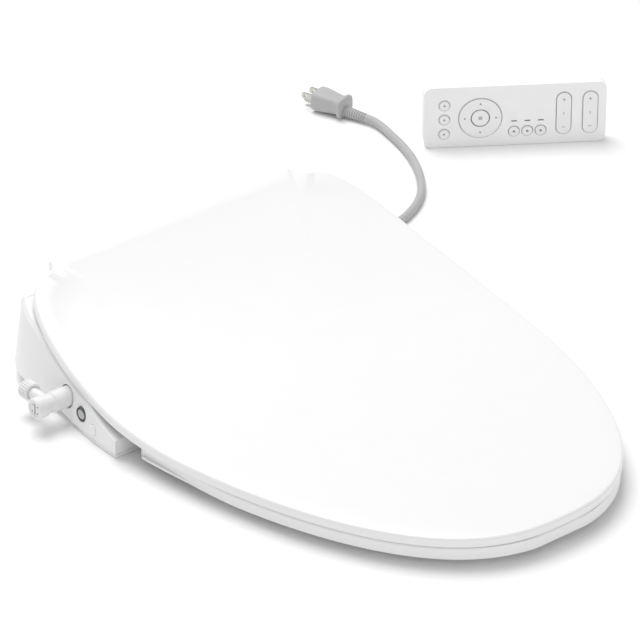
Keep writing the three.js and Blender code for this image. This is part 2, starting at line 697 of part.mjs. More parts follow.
addPart('water_heater_tank', roundedBox([-128, 158, 9.8], [-60, 214, 31], 8), 'steel');
addPart('inlet_solenoid_valve', rod(vec(-142.2, 200, 20), vec(-130, 200, 20), 8), 'brass');
addPart('inlet_hose', tube([
  [INLET.innerX + 0.5, INLET.y, INLET.z], [-168, INLET.y, INLET.z], [-159.5, 160, 22],
  [-155, 184, 21], [-151, 197, 20], [-147, 200, 20], [-143, 200, 20],
], 2.6, 12), 'rubber');

// Dryer: a scroll housing with an impeller, and a duct to the front wall.
const DRYER = { x: 74, y: 198, r: 20, z0: 12, z1: 40 };

function makeDryerHousing() {
  const bottom = vec(DRYER.x, DRYER.y, DRYER.z0);
  const top = vec(DRYER.x, DRYER.y, DRYER.z1);
  const scroll = toManifold(rod(bottom, top, DRYER.r + 3));
  const duct = toManifold(box([DRYER.x - 22, 156, DRYER.z0], [DRYER.x - 2, DRYER.y, 32]));
  const chamber = toManifold(rod(
    vec(DRYER.x, DRYER.y, DRYER.z0 + 2), vec(DRYER.x, DRYER.y, DRYER.z1 - 2), DRYER.r));
  const throat = toManifold(box([DRYER.x - 20, 150, DRYER.z0 + 2], [DRYER.x - 4, DRYER.y, 30]));
  const eye = toManifold(rod(vec(DRYER.x, DRYER.y, 20), vec(DRYER.x, DRYER.y, 60), 12));
  return scroll.add(duct).subtract(chamber).subtract(throat).subtract(eye);
}

function makeImpeller() {
  const hub = toManifold(rod(
    vec(DRYER.x, DRYER.y, DRYER.z0 + 3), vec(DRYER.x, DRYER.y, DRYER.z1 - 6), 6, 2, 16));
  const plate = toManifold(rod(
    vec(DRYER.x, DRYER.y, DRYER.z0 + 3), vec(DRYER.x, DRYER.y, DRYER.z0 + 5), 17, 2, 28));
  const blades = Array.from({ length: 10 }, (_, i) => toManifold(
    box([4, -0.7, DRYER.z0 + 3], [17, 0.7, DRYER.z1 - 8])
      .rotateZ((2 * Math.PI * i) / 10).translate(DRYER.x, DRYER.y, 0)));
  return blades.reduce((solid, blade) => solid.add(blade), hub.add(plate))
    .subtract(toManifold(rod(vec(DRYER.x, DRYER.y, 0), vec(DRYER.x, DRYER.y, 60), 2, 0, 16)));
}

addPart('dryer_fan_housing', makeDryerHousing(), 'greyPlastic');
addPart('dryer_impeller', makeImpeller(), 'darkPlastic');
addPart('control_board', box([104, 156, 13], [138, 216, 14.6]), 'board');

// ---------- power cord ----------

const RELIEF = { startY: 234, length: 22 };

function makeStrainRelief() {
  const { length } = RELIEF;
  return turned([[0, 0], [6, 0], [6, 7], [5, 9], [4.2, length], [0, length]],
    vec(cordExitX, RELIEF.startY, CORD.exitZ), vec(0, 1, 0), 24);
}

// Wound length of cord as one flat ring on the floor.
function makeCoil() {
  const low = 0.2;
  const high = 2 * CORD.diameter;
  const section = [
    [CORD.coilInnerR, low], [CORD.coilOuterR, low], [CORD.coilOuterR, high], [CORD.coilInnerR, high],
    [CORD.coilInnerR, low],
  ];
  const outline = section.map(([r, z]) => new THREE.Vector2(r, z));
  return new THREE.LatheGeometry(outline, 36).rotateX(Math.PI / 2).translate(CORD.coilX, CORD.coilY, 0);
}

addPart('cord_strain_relief', makeStrainRelief(), 'rubber');
addPart('power_cord_inner', tube([
  [cordExitX, 256.3, CORD.exitZ], [cordExitX, 258.5, 12.4], [cordExitX, 260.8, 12.1],
  [cordExitX, 263.2, 11.8],
], cordR, 6), 'rubber');
addPart('power_cord_coil', makeCoil(), 'rubber');

// The cord leaves the coil at its rearmost point and runs to the plug.
const FREE_CORD = [
  [105.6, 330.8, 4], [130, 331, 4], [150, 326, 4], [168, 314, 4], [183, 296, 4], [190, 272, 4],
  [199, 248, 4], [213, 230, 4], [230, 224, 4], [246, 227, 4], [276, 243, 4], [299, 267, 4],
  [320, 302, 4], [331, 332, 4], [337, 358, 4], [340.1, 374, 4.7], [340.06, 385.6, 5.6], [337.9, 393.3, 5.6],
];
const plugStart = vec(337.9, 393.3, 5.6);
const plugAxis = vec(-2.16, 7.7, 0).normalize();
const PLUG = { reliefLength: 22, bodyEnd: 54.5, middleZ: 10.4, prongLength: 13 };

// Point beside the plug's centre line: a distance from the cord's end, at a height.
function alongPlug(distance, z) {
  return plugStart.clone().addScaledVector(plugAxis, distance).setZ(z);
}

// Turns a shape drawn facing +Z so that it points along the plug, lying on the floor.
function placeOnPlug(geometry, distance) {
  const across = new THREE.Vector3().crossVectors(vec(0, 0, 1), plugAxis);
  const basis = new THREE.Matrix4().makeBasis(across, vec(0, 0, 1), plugAxis);
  return geometry.applyMatrix4(basis).translate(...alongPlug(distance, PLUG.middleZ).toArray());
}

// Closed loop like a rounded rectangle, in the plane at the given distance along the plug.
function plugSection(distance, halfWidth, halfHeight) {
  const count = 24;
  return Array.from({ length: count }, (_, i) => {
    const angle = (2 * Math.PI * (i + 0.5)) / count;
    const x = halfWidth * Math.sign(Math.cos(angle)) * Math.sqrt(Math.abs(Math.cos(angle)));
    const y = halfHeight * Math.sign(Math.sin(angle)) * Math.sqrt(Math.abs(Math.sin(angle)));
    return vec(x, y, distance);
  });
}

// Plug body: a finger guard next to the strain relief, then a grip that widens toward the face.
function makePlugBody() {
  const start = PLUG.reliefLength + 0.6;
  return placeOnPlug(skinRings([
    plugSection(start, 12, 10), plugSection(26.4, 12, 10), plugSection(27, 9.6, 8),
    plugSection(36, 10.2, 8.6), plugSection(47, 11.5, 9.6), plugSection(PLUG.bodyEnd - 1.5, 11.5, 9.6),
    plugSection(PLUG.bodyEnd, 10.3, 8.4),
  ]), 0);
}

addPart('power_cord_free', tube(FREE_CORD, cordR, 40), 'rubber');
addPart('plug_strain_relief', turned(
  [[0, 0], [4.2, 0], [5.4, PLUG.reliefLength], [0, PLUG.reliefLength]],
  alongPlug(0.3, plugStart.z), plugAxis, 20), 'rubber');
addPart('plug_body', makePlugBody(), 'rubber');

const prongStart = PLUG.bodyEnd + 0.3;
for (const [word, x] of [['left', -6.3], ['right', 6.3]]) {
  const blade = box([x - 0.8, -1, 0], [x + 0.8, 5.3, PLUG.prongLength]);
  addPart(`plug_blade_${word}`, placeOnPlug(blade, prongStart), 'brass');
}
const earthPin = turned(
  [[0, 0], [2.4, 0], [2.4, PLUG.prongLength], [1.2, PLUG.prongLength + 2.5], [0, PLUG.prongLength + 2.5]],
  vec(0, -5.5, 0), vec(0, 0, 1), 16);
addPart('plug_earth_pin', placeOnPlug(earthPin, prongStart), 'brass');

// ---------- remote control, standing on its long edge beside the seat ----------

const REMOTE = {
  x: 416.6, y: 275, turn: THREE.MathUtils.degToRad(34), width: 168, height: 61, depth: 12, corner: 8,
  pocketDepth: 3.4, keyDepth: 2.2, proud: 0.8,
};
const remoteAlong = vec(Math.cos(REMOTE.turn), -Math.sin(REMOTE.turn), 0);
const remoteFront = vec(-Math.sin(REMOTE.turn), -Math.cos(REMOTE.turn), 0);

// Moves a shape drawn in the face plane (x along, y up, z out of the face) to the remote's place.
function placeOnRemote(geometry) {
  const basis = new THREE.Matrix4().makeBasis(remoteAlong, vec(0, 0, 1), remoteFront);
  const start = vec(REMOTE.x, REMOTE.y, 0).addScaledVector(remoteAlong, -REMOTE.width / 2);
  return geometry.applyMatrix4(basis).translate(start.x, start.y, start.z);
}

function faceExtrusion(shape, z0, z1, curveSegments = 7) {
  const options = { depth: z1 - z0, bevelEnabled: false, curveSegments };
  return placeOnRemote(new THREE.ExtrudeGeometry(shape, options).translate(0, 0, z0));
}

function circle(x, y, r) {
  const shape = new THREE.Shape();
  shape.absarc(x, y, r, 0, 2 * Math.PI);
  return shape;
}

function pill(x, y, halfWidth, halfHeight) {
  return roundedRectangle(x - halfWidth, y - halfHeight, x + halfWidth, y + halfHeight, halfWidth - 0.01);
}

const DIAL = { x: 52, y: 29, r: 19.6, innerR: 9, segments: 15 };
const REMOTE_KEYS = [
  ['remote_mode_button_top', 18.9, 43, 4.6], ['remote_mode_button_middle', 18.9, 28.5, 4.6],
  ['remote_mode_button_bottom', 18.9, 13.8, 4.6], ['remote_centre_button', DIAL.x, DIAL.y, 8],
  ['remote_level_button_left', 83.2, 14, 4.9], ['remote_level_button_middle', 95.5, 14, 4.9],
  ['remote_level_button_right', 107.8, 14, 4.9],
];
const REMOTE_ROCKERS = [['remote_rocker_left', 128.8], ['remote_rocker_right', 153.1]];
const ROCKER = { y: 30.5, halfWidth: 6.6, halfHeight: 21 };

function makeRemoteHousing() {
  let body = toManifold(faceExtrusion(
    roundedRectangle(0, 0, REMOTE.width, REMOTE.height, REMOTE.corner), -REMOTE.depth, 0));
  const { pocketDepth } = REMOTE;
  const dialPocket = faceExtrusion(circle(DIAL.x, DIAL.y, DIAL.r + GAP), -pocketDepth, 5, DIAL.segments);
  body = body.subtract(toManifold(dialPocket));
  const pockets = [];
  for (const [, x, y, r] of REMOTE_KEYS.filter(([name]) => name !== 'remote_centre_button')) {
    pockets.push(circle(x, y, r + GAP));
  }
  for (const [, x] of REMOTE_ROCKERS) {
    pockets.push(pill(x, ROCKER.y, ROCKER.halfWidth + GAP, ROCKER.halfHeight + GAP));
  }
  for (const pocket of pockets) body = body.subtract(toManifold(faceExtrusion(pocket, -pocketDepth, 5)));
  return body;
}

function makeDial() {
  const ring = circle(DIAL.x, DIAL.y, DIAL.r);
  const hole = new THREE.Path();
  hole.absarc(DIAL.x, DIAL.y, DIAL.innerR, 0, 2 * Math.PI, true);
  ring.holes.push(hole);
  return faceExtrusion(ring, -REMOTE.keyDepth, REMOTE.proud, DIAL.segments);
}

addPart('remote_housing', makeRemoteHousing(), 'whiteSatin');
addPart('remote_dial_ring', makeDial(), 'whiteSatin');
for (const [name, x, y, r] of REMOTE_KEYS) {
  addPart(name, faceExtrusion(circle(x, y, r), -REMOTE.keyDepth, REMOTE.proud), 'whiteSatin');
}
for (const [name, x] of REMOTE_ROCKERS) {
  const outline = pill(x, ROCKER.y, ROCKER.halfWidth, ROCKER.halfHeight);
  addPart(name, faceExtrusion(outline, -REMOTE.keyDepth + 0.4, REMOTE.proud), 'whiteSatin');
}

export default group;
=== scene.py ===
"""Looks of an electric bidet seat: smooth shells, cord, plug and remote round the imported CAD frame."""

import json
import math

import bmesh
import bpy
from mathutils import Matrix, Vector

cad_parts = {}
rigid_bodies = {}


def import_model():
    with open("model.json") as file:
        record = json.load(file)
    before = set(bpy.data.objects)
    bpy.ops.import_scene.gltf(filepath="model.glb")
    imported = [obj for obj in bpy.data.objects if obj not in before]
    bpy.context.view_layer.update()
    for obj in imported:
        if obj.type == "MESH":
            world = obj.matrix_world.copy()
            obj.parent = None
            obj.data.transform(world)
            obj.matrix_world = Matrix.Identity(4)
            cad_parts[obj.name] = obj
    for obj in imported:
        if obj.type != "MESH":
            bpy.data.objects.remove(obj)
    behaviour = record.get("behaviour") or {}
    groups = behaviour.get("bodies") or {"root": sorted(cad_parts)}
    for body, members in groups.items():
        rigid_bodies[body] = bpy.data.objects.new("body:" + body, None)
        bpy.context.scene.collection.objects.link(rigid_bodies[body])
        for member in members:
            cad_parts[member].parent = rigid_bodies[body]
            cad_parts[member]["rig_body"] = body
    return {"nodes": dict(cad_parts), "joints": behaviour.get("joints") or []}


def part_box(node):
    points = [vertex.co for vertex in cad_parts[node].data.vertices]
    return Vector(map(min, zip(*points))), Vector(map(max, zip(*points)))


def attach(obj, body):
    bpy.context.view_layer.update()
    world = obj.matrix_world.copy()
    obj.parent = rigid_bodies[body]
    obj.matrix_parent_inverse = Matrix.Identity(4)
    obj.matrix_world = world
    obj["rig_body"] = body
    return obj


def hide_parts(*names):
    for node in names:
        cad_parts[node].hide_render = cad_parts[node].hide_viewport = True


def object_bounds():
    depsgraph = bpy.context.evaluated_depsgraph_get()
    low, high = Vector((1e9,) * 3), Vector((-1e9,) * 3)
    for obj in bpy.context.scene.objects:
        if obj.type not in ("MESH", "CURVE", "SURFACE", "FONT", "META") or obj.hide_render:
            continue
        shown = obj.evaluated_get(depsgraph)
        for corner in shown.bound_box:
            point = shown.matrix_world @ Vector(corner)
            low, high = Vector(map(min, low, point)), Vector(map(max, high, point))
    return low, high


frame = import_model()
cad_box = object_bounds()
joints = {joint["name"]: joint for joint in frame["joints"]}

# Shapes are drawn in millimetres. The drawing's origin is this far in front of the frame's origin.
MM = 0.001
DRAWING_Y = -195


def place(x, y, z):
    """A point of the drawing in the row frame, in metres."""
    return Vector((x, y + DRAWING_Y, z)) * MM


def centre_of(node):
    low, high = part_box(node)
    return (low + high) / 2


def smoothstep(value, low, high):
    t = min(1.0, max(0.0, (value - low) / (high - low)))
    return t * t * (3 - 2 * t)


# ---------- camera ----------

CAMERA = {"azimuth": 39.82, "elevation": 31.27, "distance": 3805, "sensor": 36, "focal_over_frame": 7.17629}
CAMERA_AIM_RIGHT = -30.3  # what the camera looks at, measured in the picture plane from the drawing's origin
CAMERA_AIM_UP = 77.6


def make_camera():
    azimuth = math.radians(CAMERA["azimuth"])
    elevation = math.radians(CAMERA["elevation"])
    level = Vector((math.sin(azimuth), math.cos(azimuth), 0))
    ahead = level * math.cos(elevation) + Vector((0, 0, -math.sin(elevation)))
    right = Vector((math.cos(azimuth), -math.sin(azimuth), 0))
    up = right.cross(ahead)
    aim = right * CAMERA_AIM_RIGHT + up * CAMERA_AIM_UP
    position = -ahead * CAMERA["distance"]
    data = bpy.data.cameras.new("camera")
    data.sensor_width = CAMERA["sensor"]
    data.lens = CAMERA["focal_over_frame"] * CAMERA["sensor"]
    data.clip_start = 0.1
    data.clip_end = 50
    camera = bpy.data.objects.new("camera", data)
    bpy.context.scene.collection.objects.link(camera)
    camera.location = place(*position)
    camera.rotation_mode = "QUATERNION"
    camera.rotation_quaternion = (aim - position).to_track_quat("-Z", "Y")
    bpy.context.scene.camera = camera


make_camera()

# ---------- materials ----------


def noise_at(tree, coordinates, scale, detail=4.0, stretch=(1, 1, 1)):
    """Noise in object space; scale is in grains per metre."""
    mapping = tree.nodes.new("ShaderNodeMapping")
    mapping.inputs["Scale"].default_value = stretch
    noise = tree.nodes.new("ShaderNodeTexNoise")
    noise.inputs["Scale"].default_value = scale
    noise.inputs["Detail"].default_value = detail
    tree.links.new(coordinates.outputs["Object"], mapping.inputs["Vector"])
    tree.links.new(mapping.outputs["Vector"], noise.inputs["Vector"])
    return noise.outputs["Fac"]


def remap(tree, source, low, high):
    """Noise value spread from low to high."""
    spread = tree.nodes.new("ShaderNodeMapRange")
    spread.inputs["From Min"].default_value = 0.3
    spread.inputs["From Max"].default_value = 0.7
    spread.inputs["To Min"].default_value = low
    spread.inputs["To Max"].default_value = high
    tree.links.new(source, spread.inputs["Value"])
    return spread.outputs["Result"]


def tint(tree, source, dark, light):
    ramp = tree.nodes.new("ShaderNodeValToRGB")
    ramp.color_ramp.elements[0].position = 0.32
    ramp.color_ramp.elements[0].color = (*dark, 1)
    ramp.color_ramp.elements[1].position = 0.68
    ramp.color_ramp.elements[1].color = (*light, 1)
    tree.links.new(source, ramp.inputs["Fac"])
    return ramp.outputs["Color"]


def make_material(name, colour, roughness, grain, bump,
                  metallic=0.0, coat=0.0, mottle=0.015, stretch=(1, 1, 1)):
    """Moulded or drawn material: faint mottling, uneven gloss and a fine surface grain (grains per metre)."""
    material = bpy.data.materials.new(name)
    material.use_nodes = True
    tree = material.node_tree
    shader = tree.nodes["Principled BSDF"]
    coordinates = tree.nodes.new("ShaderNodeTexCoord")
    broad = noise_at(tree, coordinates, grain / 40, 3.0)
    fine = noise_at(tree, coordinates, grain, 5.0, stretch)
    dark = [max(0.0, channel * (1 - mottle)) for channel in colour]
    light = [min(1.0, channel * (1 + mottle * 0.4)) for channel in colour]
    tree.links.new(tint(tree, broad, dark, light), shader.inputs["Base Color"])
    tree.links.new(remap(tree, fine, roughness * 0.88, roughness * 1.15), shader.inputs["Roughness"])
    height = tree.nodes.new("ShaderNodeBump")
    height.inputs["Strength"].default_value = bump
    height.inputs["Distance"].default_value = 0.0002
    tree.links.new(fine, height.inputs["Height"])
    tree.links.new(height.outputs["Normal"], shader.inputs["Normal"])
    shader.inputs["Metallic"].default_value = metallic
    shader.inputs["Coat Weight"].default_value = coat
    shader.inputs["Coat Roughness"].default_value = 0.12
    shader.inputs["Specular IOR Level"].default_value = 0.5
    return material


def make_board_material():
    """Green circuit board with a fine lattice of copper tracks."""
    material = make_material("board", (0.02, 0.16, 0.07), 0.45, 900, 0.1)
    tree = material.node_tree
    shader = tree.nodes["Principled BSDF"]
    coordinates = tree.nodes.new("ShaderNodeTexCoord")
    tracks = tree.nodes.new("ShaderNodeTexBrick")
    tracks.inputs["Scale"].default_value = 160
    tracks.inputs["Mortar Size"].default_value = 0.06
    tracks.inputs["Color1"].default_value = (0.02, 0.15, 0.06, 1)
    tracks.inputs["Color2"].default_value = (0.025, 0.19, 0.08, 1)
    tracks.inputs["Mortar"].default_value = (0.3, 0.36, 0.12, 1)
    tree.links.new(coordinates.outputs["Object"], tracks.inputs["Vector"])
    tree.links.new(tracks.outputs["Color"], shader.inputs["Base Color"])
    return material


WHITE = (0.915, 0.915, 0.917)
LOOKS = {
    "lid_plastic": make_material("lid_plastic", WHITE, 0.3, 1500, 0.05, coat=0.15, mottle=0.006),
    "seat_plastic": make_material(
        "seat_plastic", (0.925, 0.925, 0.927), 0.3, 1500, 0.05, coat=0.15, mottle=0.006),
    "base_plastic": make_material("base_plastic", (0.925, 0.926, 0.93), 0.36, 1800, 0.07, mottle=0.008),
    "valve_plastic": make_material("valve_plastic", (0.84, 0.84, 0.845), 0.42, 2200, 0.12),
    "remote_plastic": make_material("remote_plastic", (0.965, 0.965, 0.967), 0.45, 2600, 0.12),
    "key_plastic": make_material("key_plastic", (0.93, 0.93, 0.933), 0.5, 2800, 0.14),
    "button_white": make_material("button_white", (0.92, 0.92, 0.92), 0.38, 2600, 0.1),
    "button_grey": make_material("button_grey", (0.56, 0.57, 0.58), 0.4, 2600, 0.12, mottle=0.03),
    "bezel_dark": make_material("bezel_dark", (0.075, 0.075, 0.08), 0.38, 2400, 0.12, mottle=0.06),
    "inner_plastic": make_material("inner_plastic", (0.33, 0.335, 0.34), 0.55, 1600, 0.2, mottle=0.05),
    "impeller_plastic": make_material(
        "impeller_plastic", (0.05, 0.05, 0.055), 0.5, 1600, 0.2, mottle=0.08),
    "pad_rubber": make_material("pad_rubber", (0.66, 0.66, 0.655), 0.75, 1400, 0.3, mottle=0.04),
    "hose_rubber": make_material("hose_rubber", (0.12, 0.12, 0.12), 0.7, 1400, 0.3, mottle=0.08),
    "cord_rubber": make_material("cord_rubber", (0.47, 0.47, 0.475), 0.55, 2000, 0.25, mottle=0.03),
    "steel": make_material(
        "steel", (0.62, 0.63, 0.64), 0.28, 900, 0.25, metallic=1.0, mottle=0.06, stretch=(1, 14, 1)),
    "brass": make_material(
        "brass", (0.62, 0.6, 0.56), 0.3, 900, 0.2, metallic=1.0, mottle=0.08, stretch=(1, 10, 1)),
    "heater_foil": make_material("heater_foil", (0.5, 0.46, 0.38), 0.5, 700, 0.4, mottle=0.15),
    "board": make_board_material(),
}
PRINT = make_material("print_grey", (0.3, 0.3, 0.31), 0.55, 2400, 0.05, mottle=0.05)
PRINT_PALE = make_material("print_pale", (0.5, 0.5, 0.51), 0.55, 2400, 0.05, mottle=0.04)

# ---------- mesh helpers ----------


def add_piece(name, shape, body, slot=None, material=None, replaces=(), sharp=35):
    """Turns a bmesh into a smooth-shaded piece that rides on a CAD body."""
    mesh = bpy.data.meshes.new(name)
    bmesh.ops.recalc_face_normals(shape, faces=shape.faces)
    shape.to_mesh(mesh)
    shape.free()
    for face in mesh.polygons:
        face.use_smooth = True
    mesh.set_sharp_from_angle(angle=math.radians(sharp))
    piece = bpy.data.objects.new(name, mesh)
    bpy.context.scene.collection.objects.link(piece)
    mesh.materials.append(material or LOOKS[slot])
    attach(piece, body)
    if replaces:
        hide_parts(*replaces)
    return piece


def skin(rings, looped=False):
    """Closed solid over rings of equal point count; the end rings are closed by one face each."""
    shape = bmesh.new()
    rows = [[shape.verts.new(point) for point in ring] for ring in rings]
    count = len(rings[0])
    bands = len(rows) if looped else len(rows) - 1
    for band in range(bands):
        here = rows[band]
        there = rows[(band + 1) % len(rows)]
        for i in range(count):
            j = (i + 1) % count
            shape.faces.new((here[i], here[j], there[j], there[i]))
    if not looped:
        shape.faces.new(rows[0])
        shape.faces.new(rows[-1])
    return shape


def turned_rings(profile, start, direction, segments):
    """Rings about an axis, from (radius, distance along the axis) pairs in millimetres."""
    turn = direction.normalized().to_track_quat("Z", "Y")
    rings = []
    for radius, distance in profile:
        ring = []
        for i in range(segments):
            angle = 2 * math.pi * i / segments
            local = Vector((radius * math.cos(angle), radius * math.sin(angle), distance)) * MM
            ring.append(start + turn @ local)
        rings.append(ring)
    return rings


def turned(profile, start, direction, segments=48):
    """Solid turned about an axis, from (radius, distance along the axis) pairs in millimetres."""
    return skin(turned_rings(profile, start, direction, segments))


def extruded(outline, low, high, to_world):
    """Solid from a closed 2-D outline between two heights, moved to its place by to_world(x, y, z)."""
    return skin([[to_world(x, y, z) for x, y in outline] for z in (low, high)])


def block(low, high):
    """Box between two corners of the drawing, as a plain cutting tool."""
    outline = [(low[0], low[1]), (high[0], low[1]), (high[0], high[1]), (low[0], high[1])]
    return extruded(outline, low[2], high[2], place)


def bevel_edges(shape, width, segments=3, angle=30):
    """Rounds every edge sharper than angle degrees."""
    sharp_edges = [edge for edge in shape.edges
                   if edge.is_manifold and edge.calc_face_angle(0) > math.radians(angle)]
    bmesh.ops.bevel(shape, geom=sharp_edges, offset=width * MM, offset_type="OFFSET", segments=segments,
                    profile=0.5, affect="EDGES", clamp_overlap=True)


def cut(piece, *tools):
    """Cuts plain tool shapes out of a piece."""
    for number, tool in enumerate(tools):
        mesh = bpy.data.meshes.new(f"tool_{number}")
        bmesh.ops.recalc_face_normals(tool, faces=tool.faces)
        tool.to_mesh(mesh)
        tool.free()
        cutter = bpy.data.objects.new(f"tool_{number}", mesh)
        bpy.context.scene.collection.objects.link(cutter)
        modifier = piece.modifiers.new("cut", "BOOLEAN")
        modifier.object = cutter
        modifier.operation = "DIFFERENCE"
        modifier.solver = "EXACT"
        bpy.context.view_layer.update()
        result = bpy.data.meshes.new_from_object(piece.evaluated_get(bpy.context.evaluated_depsgraph_get()))
        piece.modifiers.clear()
        piece.data = result
        bpy.data.objects.remove(cutter)
    return piece


def softened(node, slot, width=0.5, segments=3, angle=30, name=None):
    """Stands for a CAD node: the same shape with its edges rounded."""
    source = frame["nodes"][node]
    shape = bmesh.new()
    shape.from_mesh(source.data)
    bmesh.ops.remove_doubles(shape, verts=shape.verts, dist=1e-6)
    bmesh.ops.dissolve_limit(shape, angle_limit=math.radians(0.6), verts=shape.verts, edges=shape.edges)
    bevel_edges(shape, width, segments, angle)
    piece = add_piece(name or f"{node}_soft", shape, source["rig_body"], slot, replaces=(node,), sharp=40)
    modifier = piece.modifiers.new("even_shading", "WEIGHTED_NORMAL")
    modifier.keep_sharp = True
    return piece


def dress(node, slot):
    """Gives a carried-over CAD node its material."""
    piece = frame["nodes"][node]
    piece.data.materials.clear()
    piece.data.materials.append(LOOKS[slot])


# ---------- cord, relief and plug ----------

CORD = {"diameter": 7.6, "exit_z": 12.5, "exit_y": 256, "coil_x": 80, "coil_y": 289, "coil_outer": 41.8}
CORD_EXIT_X = CORD["coil_x"] - CORD["coil_outer"]
COIL_STEPS = 32  # points per turn
RELIEF_START_Y = 234
RELIEF_LENGTH = 22
FREE_CORD = [
    (105.6, 330.8, 4), (130, 331, 4), (150, 326, 4), (168, 314, 4), (183, 296, 4), (190, 272, 4),
    (199, 248, 4), (213, 230, 4), (230, 224, 4), (246, 227, 4), (276, 243, 4), (299, 267, 4),
    (320, 302, 4), (331, 332, 4), (337, 358, 4), (340.1, 374, 4.7), (340.06, 385.6, 5.6), (337.9, 393.3, 5.6),
]
PLUG_START = Vector((337.9, 393.3, 5.6))
PLUG_AXIS = Vector((-2.16, 7.7, 0)).normalized()


def coil_route():
    """Four turns: the outer top turn, inward, down, out along the floor; then a quarter turn to leave."""
    lanes = [(0, 1), (1, 1), (1, 0), (0, 0)]
    spacing = CORD["diameter"]
    total = COIL_STEPS * len(lanes) + COIL_STEPS // 4
    points = []
    for step in range(1, total):
        turn = step / COIL_STEPS
        index = min(int(turn), len(lanes) - 1)
        change = smoothstep(turn - index, 0.8, 1.0) if index < len(lanes) - 1 else 0
        ahead = lanes[min(index + 1, len(lanes) - 1)]
        lane = lanes[index][0] + (ahead[0] - lanes[index][0]) * change
        layer = lanes[index][1] + (ahead[1] - lanes[index][1]) * change
        radius = CORD["coil_outer"] - spacing * lane
        angle = math.pi - 2 * math.pi * turn
        points.append((
            CORD["coil_x"] + radius * math.cos(angle), CORD["coil_y"] + radius * math.sin(angle),
            4 + spacing * layer))
    return points


def cord_points():
    inner = [
        (CORD_EXIT_X, CORD["exit_y"], CORD["exit_z"]), (CORD_EXIT_X, 260, 12.4),
        (CORD_EXIT_X, 268, 12.0), (CORD_EXIT_X, 278, 11.7), (CORD_EXIT_X, 288, 11.6),
    ]
    return [place(*point) for point in inner + coil_route() + FREE_CORD]


def tube_curve(name, points, radius, body, slot, replaces):
    """Round cord as a curve with the given centreline."""
    curve = bpy.data.curves.new(name, "CURVE")
    curve.dimensions = "3D"
    curve.bevel_depth = radius * MM
    curve.bevel_resolution = 6
    curve.resolution_u = 4
    spline = curve.splines.new("NURBS")
    spline.points.add(len(points) - 1)
    for control, point in zip(spline.points, points):
        control.co = (*point, 1)
    spline.order_u = 3
    spline.use_endpoint_u = True
    curve.materials.append(LOOKS[slot])
    piece = bpy.data.objects.new(name, curve)
    bpy.context.scene.collection.objects.link(piece)
    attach(piece, body)
    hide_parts(*replaces)
    return piece


# One rib of a strain relief: share of the rib's length, and how far that point lies below the crest.
RIB_SHAPE = ((0.0, 0.9), (0.15, 0.9), (0.25, 0.15), (0.45, 0), (0.75, 0), (0.88, 0.2), (0.97, 0.9))
RIB_DEPTH = 0.9


def ribbed_profile(base_radius, tip_radius, collar, length, ribs):
    """Tapered relief with a collar and rounded ribs, as (radius, distance) pairs."""
    profile = [(0.2, 0), (base_radius, 0), (base_radius, collar), (base_radius - 0.6, collar + 0.6)]
    run = (length - collar - 1) / ribs
    for rib in range(ribs):
        start = collar + 0.8 + rib * run
        radius = base_radius + (tip_radius - base_radius) * (rib + 0.5) / ribs
        profile += [(radius - drop, start + share * run) for share, drop in RIB_SHAPE]
    return [*profile, (tip_radius - RIB_DEPTH, length), (0.2, length)]


def on_plug(distance, across=0.0, height=0.0):
    side = Vector((0, 0, 1)).cross(PLUG_AXIS)
    point = PLUG_START + PLUG_AXIS * distance + side * across + Vector((0, 0, height))
    return place(*point)


def signed_power(value, power):
    return math.copysign(abs(value) ** power, value)


def superellipse(half_width, half_height, power, count=40):
    """Closed loop between an ellipse (power 2) and a rectangle."""
    outline = []
    for i in range(count):
        angle = 2 * math.pi * i / count
        outline.append((half_width * signed_power(math.cos(angle), 2 / power),
                        half_height * signed_power(math.sin(angle), 2 / power)))
    return outline


PLUG_LIFT = 4.8  # height of the plug's middle over the cord's middle


def make_plug_body():
    """Moulded plug: a finger guard at the relief, a waist, and a grip that widens toward the face."""
    stations = [
        (22.5, 10.8, 9.0, 3.2), (22.9, 11.7, 9.7, 3.2), (24.2, 12.0, 10.0, 3.2), (25.6, 11.8, 9.8, 3.2),
        (26.3, 11.0, 9.1, 3.2), (26.9, 9.8, 8.2, 3.2), (28.4, 9.3, 7.8, 3.4), (32.0, 9.5, 8.0, 3.6),
        (38.0, 10.1, 8.5, 3.8), (44.0, 10.9, 9.2, 4.0), (49.0, 11.4, 9.6, 4.0), (53.0, 11.5, 9.6, 4.0),
        (54.2, 11.1, 9.3, 4.0), (54.5, 10.4, 8.6, 4.0),
    ]
    rings = []
    for distance, half_width, half_height, power in stations:
        rings.append([on_plug(distance, across, PLUG_LIFT + height)
                      for across, height in superellipse(half_width, half_height, power)])
    return add_piece("plug_body_moulded", skin(rings), "base", "cord_rubber",
                     replaces=("plug_body",), sharp=60)


PRONG_START = 54.7  # distance of the prongs' root from the cord's end
PRONG_LENGTH = 13
BLADE_ACROSS = 6.3  # from the plug's middle plane
BLADE_RISE = 2.15  # from the plug's middle height


def make_blade(word, across):
    """Flat blade with a rounded tip and a hole near it."""
    half_width = 3.1
    length = PRONG_LENGTH
    outline = [(-half_width, 0), (half_width, 0), (half_width, length - 2), (half_width - 0.9, length - 0.4),
               (half_width - 1.8, length), (-half_width + 1.8, length), (-half_width + 0.9, length - 0.4),
               (-half_width, length - 2)]
    shape = extruded(outline, across - 0.75, across + 0.75,
                     lambda x, y, z: on_plug(PRONG_START + y, z, PLUG_LIFT + BLADE_RISE + x))
    bevel_edges(shape, 0.2, 2)
    name = f"plug_blade_{word}"
    piece = add_piece(f"{name}_fine", shape, "base", "brass", replaces=(name,))
    hole = turned([(1.4, -3), (1.4, 3)], on_plug(PRONG_START + length - 4.6, across, PLUG_LIFT + BLADE_RISE),
                  Vector((0, 0, 1)).cross(PLUG_AXIS), 24)
    return cut(piece, hole)


